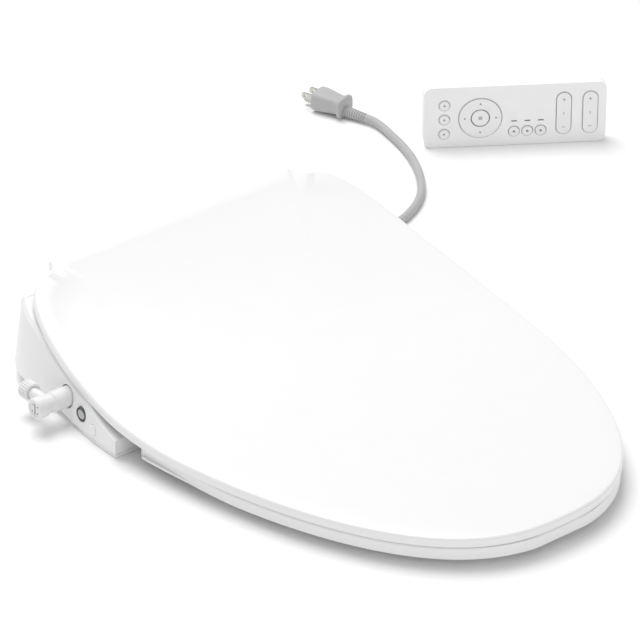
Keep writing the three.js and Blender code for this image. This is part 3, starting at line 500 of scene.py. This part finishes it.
def make_earth_pin():
    profile = [(0.2, 0), (2.35, 0), (2.35, 11.6), (2.2, 12.7), (1.8, 13.8), (1.2, 14.7), (0.5, 15.2),
               (0.1, 15.3)]
    shape = turned(profile, on_plug(PRONG_START, 0, PLUG_LIFT - 5.5), PLUG_AXIS, 32)
    return add_piece("plug_earth_pin_fine", shape, "base", "brass", replaces=("plug_earth_pin",), sharp=50)


def make_cord():
    """The cord with its relief at the wall, and the plug at its end."""
    wall = place(CORD_EXIT_X, RELIEF_START_Y, CORD["exit_z"])
    at_wall = ribbed_profile(6, 4.3, 7, RELIEF_LENGTH, 5)
    add_piece("cord_relief_ribbed", turned(at_wall, wall, Vector((0, 1, 0)), 40),
              "base", "cord_rubber", replaces=("cord_strain_relief",), sharp=50)
    from_plug = ribbed_profile(5.4, 4.2, 1.0, RELIEF_LENGTH, 8)
    plug_relief = add_piece(
        "plug_relief_ribbed",
        turned([(r, RELIEF_LENGTH - d) for r, d in from_plug], on_plug(0.3), PLUG_AXIS, 40),
        "base", "cord_rubber", replaces=("plug_strain_relief",), sharp=50)
    plug = [plug_relief, make_plug_body(), make_blade("left", -BLADE_ACROSS),
            make_blade("right", BLADE_ACROSS), make_earth_pin()]
    points = cord_points()
    cord = tube_curve("power_cord", points, CORD["diameter"] / 2, "base", "cord_rubber",
                      ("power_cord_inner", "power_cord_coil", "power_cord_free"))


make_cord()

# ---------- outline and height rules, as in the CAD drawing ----------

SEAM_Z = 18
RISE = 62
LID = {"half_width": 192, "widest_y": 78, "front_y": -256, "corner_y": 240, "rear_y": 250,
       "thickness": 9, "skin": 4, "crown": 3, "tab_half_width": 131.5, "tab_hollow": 3, "tab_corner": 7}
SEAT = {"inset": 1.5, "bottom": 7, "top": 17, "wall": 2.4, "rear_y": 141, "rear_half_width": 145.5,
        "narrow_from": 48, "waist_length": 16, "corner": 16, "tuck": 5.5, "tuck_from": -70,
        "open_rear": 98, "open_front": -192, "open_half_width": 106, "open_power": 2.3}
HINGE_Y = 241
HINGE_Z = 75
FLATTEN_FROM = 228  # behind this the lid's rise eases off toward the tab's edge
FLATTEN_RATE = 0.0058


def half_width_at(y):
    """Half width of the lid outline at y: an egg shape."""
    if y < LID["widest_y"]:
        u = min(1.0, (LID["widest_y"] - y) / (LID["widest_y"] - LID["front_y"]))
        return LID["half_width"] * (1 - u ** 1.7) ** (1 / 2.5)
    v = min(1.0, (y - LID["widest_y"]) / (LID["corner_y"] - LID["widest_y"]))
    return LID["half_width"] * (1 - v ** 1.5) ** (1 / 12)


def edge_height(y):
    """Height of the lid's lower edge: level in front, climbing, and easing off at the very rear."""
    t = max(0.0, y) / LID["rear_y"]
    height = SEAM_Z + RISE * t * t
    beyond = max(0.0, y - FLATTEN_FROM)
    return height - FLATTEN_RATE * beyond * beyond


def resampled(points, count):
    """Closed loop cut into equal steps along its length."""
    closed = [*points, points[0]]
    marks = [0.0]
    for a, b in zip(closed, closed[1:]):
        marks.append(marks[-1] + (b - a).length)
    result = []
    segment = 0
    for i in range(count):
        target = marks[-1] * i / count
        while marks[segment + 1] < target:
            segment += 1
        share = (target - marks[segment]) / max(1e-9, marks[segment + 1] - marks[segment])
        result.append(closed[segment].lerp(closed[segment + 1], share))
    return result


def mirrored_loop(right_side):
    """Closed loop from its right half, which runs from the front tip to the middle of the rear."""
    left = [Vector((-p.x, p.y)) for p in reversed(right_side[1:-1])]
    return [*right_side, *left]


def eased(start, end, count):
    return [start + (end - start) * (1 - math.cos(math.pi * i / count)) / 2 for i in range(count + 1)]


def lid_outline():
    """The egg with the hinge tab added to its rear edge; the tab's inner and outer corners are round."""
    ys = eased(LID["front_y"], LID["widest_y"], 160) + eased(LID["widest_y"], LID["corner_y"], 160)[1:]
    right = [Vector((half_width_at(y), y)) for y in ys]
    tab = LID["tab_half_width"]
    hollow = LID["tab_hollow"]
    corner = LID["tab_corner"]
    right = [p for p in right if p.x > tab + hollow or p.y < 0]
    for angle in (265, 240, 210, 180):
        turn = math.radians(angle)
        y = LID["corner_y"] + hollow * (1 + math.sin(turn))
        right.append(Vector((tab + hollow * (1 + math.cos(turn)), y)))
    for angle in (15, 30, 45, 60, 75, 90):
        turn = math.radians(angle)
        y = LID["rear_y"] - corner * (1 - math.sin(turn))
        right.append(Vector((tab - corner * (1 - math.cos(turn)), y)))
    right.append(Vector((0, LID["rear_y"])))
    return mirrored_loop(right)


def inset_loop(loop, distance):
    """Loop moved inward, square to itself, by distance(point)."""
    moved = []
    for i, point in enumerate(loop):
        along = (loop[(i + 1) % len(loop)] - loop[i - 1]).normalized()
        moved.append(Vector((point.x - along.y * distance(point), point.y + along.x * distance(point))))
    return moved


def rim_radius(y):
    """Rounding of the lid's upper edge: tight in front and soft toward the rear."""
    return 2.6 + 1.4 * smoothstep(y, -140, 120)


def lid_ring(loop, inset, height):
    """Ring of the lid; inset and height are functions of y."""
    moved = inset_loop(loop, lambda p: inset(p.y))
    return [place(m.x, m.y, edge_height(p.y) + height(p.y)) for m, p in zip(moved, loop)]


def lid_face_ring(loop, scale, height):
    """Ring inside the lid's face: the outline shrunk toward the middle and lifted by the crown."""
    middle_y = 10
    lift = LID["crown"] * (1 - scale ** 2.4)
    ring = []
    for p in loop:
        y = middle_y + (p.y - middle_y) * scale
        ring.append(place(p.x * scale, y, edge_height(y) + height + lift))
    return ring


def always(value):
    return lambda y: value


TROUGH_MARGIN = 7.5
RIM_UNDER = ((5.5, 0.35), (2.0, 0.0), (0.8, 0.2), (0.2, 0.8), (0.0, 1.6))  # (inset, height) of the rim's foot


def make_lid():
    """Lid shell: a dished underside, a rounded rim and a crowned top, with the hinge trough cut out."""
    loop = resampled(lid_outline(), 720)
    top = LID["thickness"]
    inner = top - LID["skin"]
    scales = [0.08, 0.2, 0.35, 0.5, 0.65, 0.78, 0.87]
    rings = [lid_face_ring(loop, scale, inner) for scale in scales]
    rings.append(lid_ring(loop, always(7.5), always(inner - 0.4)))
    rings.append(lid_ring(loop, always(6.5), always(0.8)))
    rings += [lid_ring(loop, always(inset), always(height)) for inset, height in RIM_UNDER]
    for angle in range(0, 91, 11):
        turn = math.radians(angle)
        rings.append(lid_ring(
            loop, lambda y, turn=turn: rim_radius(y) * (1 - math.cos(turn)),
            lambda y, turn=turn: top - rim_radius(y) * (1 - math.sin(turn)) * 0.96 - 0.3))
    rings.append(lid_ring(loop, lambda y: rim_radius(y) + 2.2, always(top)))
    rings += [lid_face_ring(loop, scale, top) for scale in (0.935, *reversed(scales))]
    lid = add_piece("lid_shell", skin(rings), "lid", "lid_plastic", replaces=("lid",), sharp=38)
    half = LID["tab_half_width"] - TROUGH_MARGIN
    trough = [(222, 40), (222, 71.5), (227, 74.6), (235, 79.9), (240, 80.9), (247.2, 80.9), (247.2, 40)]
    return cut(lid, extruded(trough, -half, half, lambda y, z, x: place(x, y, z)))


EAR = {"inner_x": 48, "width": 14, "neck_half": 3.4, "top_z": 81.6, "knuckle_r": 5, "bore_r": 2.8}


def make_lid_ears():
    """Ears that carry the lid on the hinge rod: a neck with a round knuckle and a bore."""
    neck = EAR["neck_half"]
    radius = EAR["knuckle_r"]
    for word, low in (("left", -EAR["inner_x"] - EAR["width"]), ("right", EAR["inner_x"])):
        outline = [(HINGE_Y - neck, EAR["top_z"]), (HINGE_Y - neck, HINGE_Z + 3)]
        for step in range(1, 24):
            angle = math.radians(132 + 276 * step / 24)
            outline.append((HINGE_Y + radius * math.cos(angle), HINGE_Z + radius * math.sin(angle)))
        outline += [(HINGE_Y + neck, HINGE_Z + 3), (HINGE_Y + neck, EAR["top_z"])]
        shape = extruded(outline, low, low + EAR["width"], lambda y, z, x: place(x, y, z))
        ear = add_piece(f"lid_ear_{word}", shape, "lid", "lid_plastic")
        bore = [(EAR["bore_r"], -1), (EAR["bore_r"], EAR["width"] + 1)]
        cut(ear, turned(bore, place(low, HINGE_Y, HINGE_Z), Vector((1, 0, 0)), 32))


make_lid()
make_lid_ears()

# ---------- seat ring ----------


def seat_half_width(y):
    """Half width of the seat at y: it follows the lid, draws in under it and narrows between the arms."""
    beyond_waist = smoothstep(y, SEAT["narrow_from"], SEAT["narrow_from"] + SEAT["waist_length"])
    waist = SEAT["rear_half_width"] + (200 - SEAT["rear_half_width"]) * (1 - beyond_waist)
    tuck = SEAT["tuck"] * smoothstep(y, SEAT["tuck_from"], SEAT["narrow_from"])
    return min(half_width_at(y) - SEAT["inset"] - tuck, waist)


def seat_outline(inset):
    """Outer edge of the seat ring, moved inward by inset."""
    front = LID["front_y"] + SEAT["inset"] + inset
    rear = SEAT["rear_y"] - inset
    corner = SEAT["corner"]
    ys = eased(front, SEAT["narrow_from"], 160)[1:]
    ys += range(SEAT["narrow_from"] + 1, int(rear) - corner, 2)
    right = [Vector((0, front))]
    right += [Vector((seat_half_width(y) - inset, y)) for y in ys]
    corner_x = seat_half_width(rear - corner) - inset - corner
    for angle in range(0, 91, 10):
        turn = math.radians(angle)
        right.append(Vector((corner_x + corner * math.cos(turn), rear - corner * (1 - math.sin(turn)))))
    right.append(Vector((0, rear)))
    return resampled(mirrored_loop(right), 360)


def opening_outline(outer, grow):
    """Edge of the opening, an elongated oval, with one point for each point of the outer edge."""
    middle = (SEAT["open_rear"] + SEAT["open_front"]) / 2
    half_length = (SEAT["open_rear"] - SEAT["open_front"]) / 2 + grow
    half_width = SEAT["open_half_width"] + grow
    power = 2 / SEAT["open_power"]
    loop = []
    for p in outer:
        angle = math.atan2((p.y - middle) / half_length, p.x / half_width)
        loop.append(Vector((half_width * signed_power(math.cos(angle), power),
                            middle + half_length * signed_power(math.sin(angle), power))))
    return loop


def at_height(loop, z):
    return [place(p.x, p.y, z) for p in loop]


SEAT_EDGE = 2.4  # rounding of the ring's outer edge
SEAT_LIP = {"width": 9, "drop": 5}  # soft lip round the opening
SEAT_DISH = 0.9
BELOW_HEATER = 2.8


def make_seat_shell():
    """Seat ring with a rounded outer edge, a gently dished top and a soft lip round the opening."""
    outer = seat_outline(0)
    top = SEAT["top"]
    bottom = SEAT["bottom"]
    rings = [at_height(outer, bottom), at_height(outer, top - SEAT_EDGE)]
    for angle in range(15, 91, 15):
        turn = math.radians(angle)
        edge = seat_outline(SEAT_EDGE * (1 - math.cos(turn)))
        rings.append(at_height(edge, top - SEAT_EDGE * (1 - math.sin(turn))))
    outer_top = seat_outline(SEAT_EDGE)
    inner_top = opening_outline(outer, SEAT_LIP["width"])
    for share in (0.1, 0.25, 0.4, 0.55, 0.7, 0.85):
        dish = SEAT_DISH * math.sin(math.pi * share)
        rings.append(at_height([a.lerp(b, share) for a, b in zip(outer_top, inner_top)], top - dish))
    for angle in range(0, 91, 15):
        turn = math.radians(angle)
        edge = opening_outline(outer, SEAT_LIP["width"] * (1 - math.sin(turn)))
        rings.append(at_height(edge, top - SEAT_LIP["drop"] * (1 - math.cos(turn))))
    inner_wall = opening_outline(outer, SEAT["wall"])
    outer_wall = seat_outline(SEAT["wall"])
    rings += [at_height(opening_outline(outer, 0), bottom), at_height(inner_wall, bottom),
              at_height(inner_wall, bottom + BELOW_HEATER), at_height(outer_wall, bottom + BELOW_HEATER),
              at_height(outer_wall, bottom)]
    shell = add_piece("seat_ring_shell", skin(rings, looped=True), "seat", "seat_plastic",
                      replaces=("seat_top_shell", "seat_heater"), sharp=40)
    return cut(shell, block((-34, 84, -40), (34, 160, 15)))


make_seat_shell()
softened("seat_bottom_plate", "seat_plastic", 0.3, 2)
for word in ("left", "right"):
    softened(f"seat_hinge_arm_{word}", "seat_plastic", 0.8)
    softened(f"hinge_bracket_{word}", "base_plastic", 0.6)
    softened(f"soft_close_damper_{word}", "inner_plastic", 0.4)
    softened(f"seat_bumper_front_{word}", "pad_rubber", 1.2)
    softened(f"seat_bumper_middle_{word}", "pad_rubber", 1.2)
    softened(f"lid_bumper_{word}", "pad_rubber", 0.8)
softened("hinge_rod", "steel", 0.5)

# ---------- base ----------

for part in ("tray", "top_cover", "rear_cover"):
    softened(f"base_{part}", "base_plastic", 0.8)
for word in ("left", "right"):
    softened(f"base_side_panel_{word}", "base_plastic", 0.9)

# ---------- buttons on the left flank ----------

OUTWARD = Vector((-1, 0, 0))
BEZEL_INNER = 5.0


def make_side_button(node, slot, dish):
    """Round button with a rounded rim; dish is how deep its face is hollowed, or raised when negative."""
    low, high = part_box(node)
    radius = (high.y - low.y) / 2 / MM
    depth = (high.x - low.x) / MM
    rounding = 0.9
    profile = [(0.2, 0), (radius, 0), (radius, depth - rounding), (radius - 0.12, depth - 0.4),
               (radius - 0.45, depth - 0.1), (radius - rounding, depth)]
    for share in (0.8, 0.6, 0.4, 0.2, 0.03):
        profile.append((max(0.15, (radius - rounding) * share), depth - dish * (1 - share ** 2)))
    middle = centre_of(node)
    start = Vector((high.x, middle.y, middle.z))
    body = frame["nodes"][node]["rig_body"]
    return add_piece(f"{node}_turned", turned(profile, start, OUTWARD), body, slot,
                     replaces=(node,), sharp=50)


def make_bezel():
    """Dark ring round the power button."""
    low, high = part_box("button_bezel")
    outer = (high.y - low.y) / 2 / MM
    depth = (high.x - low.x) / MM
    profile = [(BEZEL_INNER, 0), (outer, 0), (outer, depth - 0.8), (outer - 0.25, depth - 0.2),
               (outer - 0.8, depth), (BEZEL_INNER + 0.5, depth), (BEZEL_INNER, depth - 0.5)]
    middle = centre_of("button_bezel")
    start = Vector((high.x, middle.y, middle.z))
    return add_piece("button_bezel_ring", skin(turned_rings(profile, start, OUTWARD, 48), looped=True),
                     "base", "bezel_dark", replaces=("button_bezel",), sharp=50)


make_bezel()
make_side_button("power_button", "button_grey", 0.35)
make_side_button("wash_button", "button_white", -0.35)

# ---------- water inlet ----------

NUT_AXIS = Vector(joints["hose_nut_turn"]["axis"]).normalized()
NUT_START = place(-207, 168, 21.5)
NUT_BORE = 5.4
CAP_AXIS = Vector(joints["filter_cap_turn"]["axis"]).normalized()
CAP_START = place(-212.6, 146, 21.5)


def make_hose_nut():
    """Knurled nut: fluted grip, plain collars at both ends and a bore."""
    flutes = 22
    count = flutes * 6
    turn = NUT_AXIS.to_track_quat("Z", "Y")

    def ring(radius, depth, distance):
        points = []
        for i in range(count):
            angle = 2 * math.pi * i / count
            groove = depth * (0.5 - 0.5 * math.cos(flutes * angle)) ** 3
            r = radius - groove
            local = Vector((r * math.cos(angle), r * math.sin(angle), distance))
            points.append(NUT_START + turn @ local * MM)
        return points

    rings = [
        ring(NUT_BORE, 0, 0.2), ring(7.3, 0, 0.0), ring(7.8, 0, 0.4), ring(7.9, 0, 1.2),
        ring(8.15, 0.8, 1.7), ring(8.2, 0.8, 2.4), ring(8.2, 0.8, 8.4), ring(8.1, 0.8, 9.2),
        ring(7.8, 0.4, 10.1), ring(7.3, 0, 10.8), ring(6.8, 0, 11), ring(NUT_BORE, 0, 11),
        ring(NUT_BORE, 0, 5.5),
    ]
    return add_piece("inlet_hose_nut_knurled", skin(rings, looped=True), "hose_nut", "valve_plastic",
                     replaces=("inlet_hose_nut",), sharp=50)


def make_filter_cap():
    """Cap with a raised rim, an upright coin slot and four small dimples; dark plates at their bottoms are
    painted shade.
    """
    rim = 9.2
    face = 8.6
    profile = [(0.2, -5.2), (5.8, -5.2), (5.8, 0), (rim, 0), (rim, 7.8), (rim - 0.3, 8.7), (rim - 1.0, 9.4),
               (6.9, 9.4), (6.5, 9.2), (6.3, 8.8), (5.9, face), (0.2, face)]
    cap = add_piece("inlet_filter_cap_turned", turned(profile, CAP_START, CAP_AXIS, 64), "filter_cap",
                    "valve_plastic", replaces=("inlet_filter_cap",), sharp=40)
    upright = Vector((0, 0, 1))
    across = upright.cross(CAP_AXIS)

    def on_face(x, y, z):
        return CAP_START + (CAP_AXIS * (face + z) + across * x + upright * y) * MM

    slot_outline = [(-0.8, -5.2), (0.8, -5.2), (0.8, 5.2), (-0.8, 5.2)]
    slot = extruded(slot_outline, -1.2, 2, on_face)
    dimple_places = [(x, y) for x in (-3.4, 3.4) for y in (-3, 3)]
    dimples = [turned([(0.8, -0.8), (0.8, 1.5)], on_face(x, y, 0), CAP_AXIS, 16) for x, y in dimple_places]
    cut(cap, slot, *dimples)
    # Painted shade: a thin dark plate at the bottom of the coin slot stands in for the shadow inside it.
    add_piece("cap_slot_painted_shade", extruded(slot_outline, -1.25, -0.7, on_face), "filter_cap",
              material=LOOKS["bezel_dark"])
    # Painted shade: a thin dark disc at the bottom of each dimple stands in for the shadow inside it.
    for number, (x, y) in enumerate(dimple_places):
        floor = turned([(0.8, -0.9), (0.8, -0.4)], on_face(x, y, 0), CAP_AXIS, 16)
        add_piece(f"cap_dimple_painted_shade_{number}", floor, "filter_cap", material=LOOKS["bezel_dark"])


make_hose_nut()
make_filter_cap()
softened("water_inlet_body", "valve_plastic", 0.5)
dress("inlet_filter_screen", "steel")

# ---------- pieces inside the base ----------

for side in ("rear", "front"):
    softened(f"{side}_wash_wand", "steel", 0.3, 2)
    softened(f"{side}_wash_nozzle_tip", "base_plastic", 0.3, 2)
softened("nozzle_guide", "inner_plastic", 0.6)
softened("water_heater_tank", "steel", 1.5)
softened("inlet_solenoid_valve", "brass", 0.8)
softened("dryer_fan_housing", "inner_plastic", 0.6)
softened("dryer_impeller", "impeller_plastic", 0.2, 1)
softened("control_board", "board", 0.2, 1)
dress("inlet_hose", "hose_rubber")

# ---------- remote control ----------

REMOTE = {"width": 168, "depth": 12, "proud": 0.8}
REMOTE_OUT = -Vector(joints["remote_dial_ring_press"]["axis"]).normalized()
REMOTE_ALONG = Vector((-REMOTE_OUT.y, REMOTE_OUT.x, 0))
KEYS = ["remote_mode_button_top", "remote_mode_button_middle", "remote_mode_button_bottom",
        "remote_level_button_left", "remote_level_button_middle", "remote_level_button_right"]
ROCKERS = ["remote_rocker_left", "remote_rocker_right"]


def remote_start():
    """Lower left corner of the remote's face."""
    back_and_front = centre_of("remote_housing")
    face = back_and_front + REMOTE_OUT * REMOTE["depth"] / 2 * MM
    face.z = 0
    return face - REMOTE_ALONG * REMOTE["width"] / 2 * MM


REMOTE_START = remote_start()


def on_remote(x, y, z):
    """A point of the remote's face plane: x along, y up, z out of the face, in millimetres."""
    return REMOTE_START + (REMOTE_ALONG * x + REMOTE_OUT * z) * MM + Vector((0, 0, y * MM))


def face_place(node):
    """(x, y) of a key's middle in the remote's face plane, in millimetres."""
    offset = centre_of(node) - REMOTE_START
    return offset.dot(REMOTE_ALONG) / MM, offset.z / MM


def circle_outline(x, y, radius, count=48):
    return [(x + radius * math.cos(2 * math.pi * i / count), y + radius * math.sin(2 * math.pi * i / count))
            for i in range(count)]


def pill_outline(x, y, half_width, half_height, count=24):
    outline = []
    for side in (1, -1):
        for i in range(count + 1):
            angle = math.pi * i / count + (0 if side > 0 else math.pi)
            outline.append((x + half_width * math.cos(angle),
                            y + side * (half_height - half_width) + half_width * math.sin(angle)))
    return outline


PRINT_THICKNESS = 0.08


def printed(name, outlines, body, material, height):
    """Thin printed marks on the face or on a key, as one piece of flat outlines."""
    shape = bmesh.new()
    for outline in outlines:
        rows = [[shape.verts.new(on_remote(x, y, z)) for x, y in outline]
                for z in (height, height + PRINT_THICKNESS)]
        count = len(outline)
        for i in range(count):
            j = (i + 1) % count
            shape.faces.new((rows[0][i], rows[0][j], rows[1][j], rows[1][i]))
        shape.faces.new(rows[0])
        shape.faces.new(rows[1])
    return add_piece(name, shape, body, None, material)


def printed_ring(name, outer, inner, body, material, height):
    """Thin printed outline between two matching closed outlines."""
    top = height + PRINT_THICKNESS
    rings = [[on_remote(x, y, z) for x, y in outline]
             for outline, z in ((outer, height), (outer, top), (inner, top), (inner, height))]
    return add_piece(name, skin(rings, looped=True), body, None, material)


def bar(x, y, half_width, half_height):
    return [(x - half_width, y - half_height), (x + half_width, y - half_height),
            (x + half_width, y + half_height), (x - half_width, y + half_height)]


def arrow(x, y, size, turn):
    points = []
    for angle in (90, 210, 330):
        a = math.radians(angle + turn)
        points.append((x + size * math.cos(a), y + size * math.sin(a)))
    return points


def make_round_keys():
    """The six small round keys, each with an outline printed round it."""
    for node in KEYS:
        softened(node, "key_plastic", 0.35)
        x, y = face_place(node)
        printed_ring(f"{node}_outline", circle_outline(x, y, 5.6), circle_outline(x, y, 5.25),
                     "base", PRINT_PALE, 0)


def mark_round_keys():
    """Plain arrows on the mode keys; a dot on each level key and a lamp above it."""
    top = REMOTE["proud"]
    for node in KEYS[:3]:
        x, y = face_place(node)
        printed(f"{node}_mark", [arrow(x, y, 1.5, 0)], node, PRINT, top)
    for node in KEYS[3:]:
        x, y = face_place(node)
        printed(f"{node}_mark", [circle_outline(x, y, 1.2, 20)], node, PRINT, top)
        printed(f"{node}_lamp", [bar(x, y + 10.4, 2.5, 0.55)], "base", LOOKS["bezel_dark"], 0)


def make_dial():
    """Dial ring with four arrows, its centre button and the outline printed round it."""
    top = REMOTE["proud"]
    arrow_radius = 14.4
    softened("remote_dial_ring", "key_plastic", 0.4)
    softened("remote_centre_button", "key_plastic", 0.4)
    x, y = face_place("remote_dial_ring")
    printed_ring("dial_outline", circle_outline(x, y, 20.5, 96), circle_outline(x, y, 20.1, 96),
                 "base", PRINT_PALE, 0)
    marks = []
    for degrees in (0, 90, 180, 270):
        turn = math.radians(degrees)
        tip_x = x + arrow_radius * math.cos(turn)
        tip_y = y + arrow_radius * math.sin(turn)
        marks.append(arrow(tip_x, tip_y, 1.3, degrees - 90))
    printed("dial_arrows", marks, "remote_dial_ring", PRINT, top)
    printed("centre_mark", [bar(x, y, 1.7, 1.7)], "remote_centre_button", PRINT_PALE, top)


def make_rockers():
    """Two long rocker keys with plain bars and crosses."""
    for node in ROCKERS:
        softened(node, "key_plastic", 0.45)
        x, y = face_place(node)
        printed_ring(f"{node}_outline", pill_outline(x, y, 7.5, 21.9), pill_outline(x, y, 7.1, 21.5),
                     "base", PRINT_PALE, 0)
        cross = [bar(x, y + 14, 1.5, 0.25), bar(x, y + 14, 0.25, 1.5)]
        printed(f"{node}_marks", [*cross, bar(x, y - 14, 1.5, 0.25), bar(x, y, 0.3, 1.3)],
                node, PRINT, REMOTE["proud"])


softened("remote_housing", "remote_plastic", 1.0, 4, 50)
make_round_keys()
make_dial()
mark_round_keys()
make_rockers()

# ---------- floor and light ----------


FLOOR_REACH = 8.0  # metres
FLOOR_GAP = 0.0002


def make_floor():
    """Pale floor, large enough to fill the camera's view."""
    shape = bmesh.new()
    bmesh.ops.create_grid(shape, x_segments=8, y_segments=8, size=FLOOR_REACH)
    mesh = bpy.data.meshes.new("floor")
    shape.to_mesh(mesh)
    shape.free()
    floor = bpy.data.objects.new("floor", mesh)
    bpy.context.scene.collection.objects.link(floor)
    floor.location.z = cad_box[0].z - FLOOR_GAP
    mesh.materials.append(make_material("floor", (0.97, 0.97, 0.97), 0.7, 400, 0.02, mottle=0.003))


def add_area_light(name, position, target, size, power):
    data = bpy.data.lights.new(name, "AREA")
    data.shape = "DISK"
    data.size = size
    data.energy = power
    light = bpy.data.objects.new(name, data)
    bpy.context.scene.collection.objects.link(light)
    light.location = position
    light.rotation_mode = "QUATERNION"
    light.rotation_quaternion = (Vector(target) - Vector(position)).to_track_quat("-Z", "Y")


def make_light():
    """Even white surroundings, a soft overhead key behind the hinge and a weak fill on the remote's face."""
    world = bpy.data.worlds.new("studio")
    world.use_nodes = True
    world.node_tree.nodes["Background"].inputs["Color"].default_value = (1, 1, 1, 1)
    world.node_tree.nodes["Background"].inputs["Strength"].default_value = 0.55
    bpy.context.scene.world = world
    add_area_light("key", (0.3, 1.2, 3.0), (0.05, -0.1, 0), 2.4, 71)
    add_area_light("remote_fill", (-0.5, -1.6, 0.9), (0.4, 0.1, 0.03), 1.2, 2.5)
    bpy.context.scene.view_settings.view_transform = "Standard"
    bpy.context.scene.view_settings.look = "None"


make_floor()
make_light()
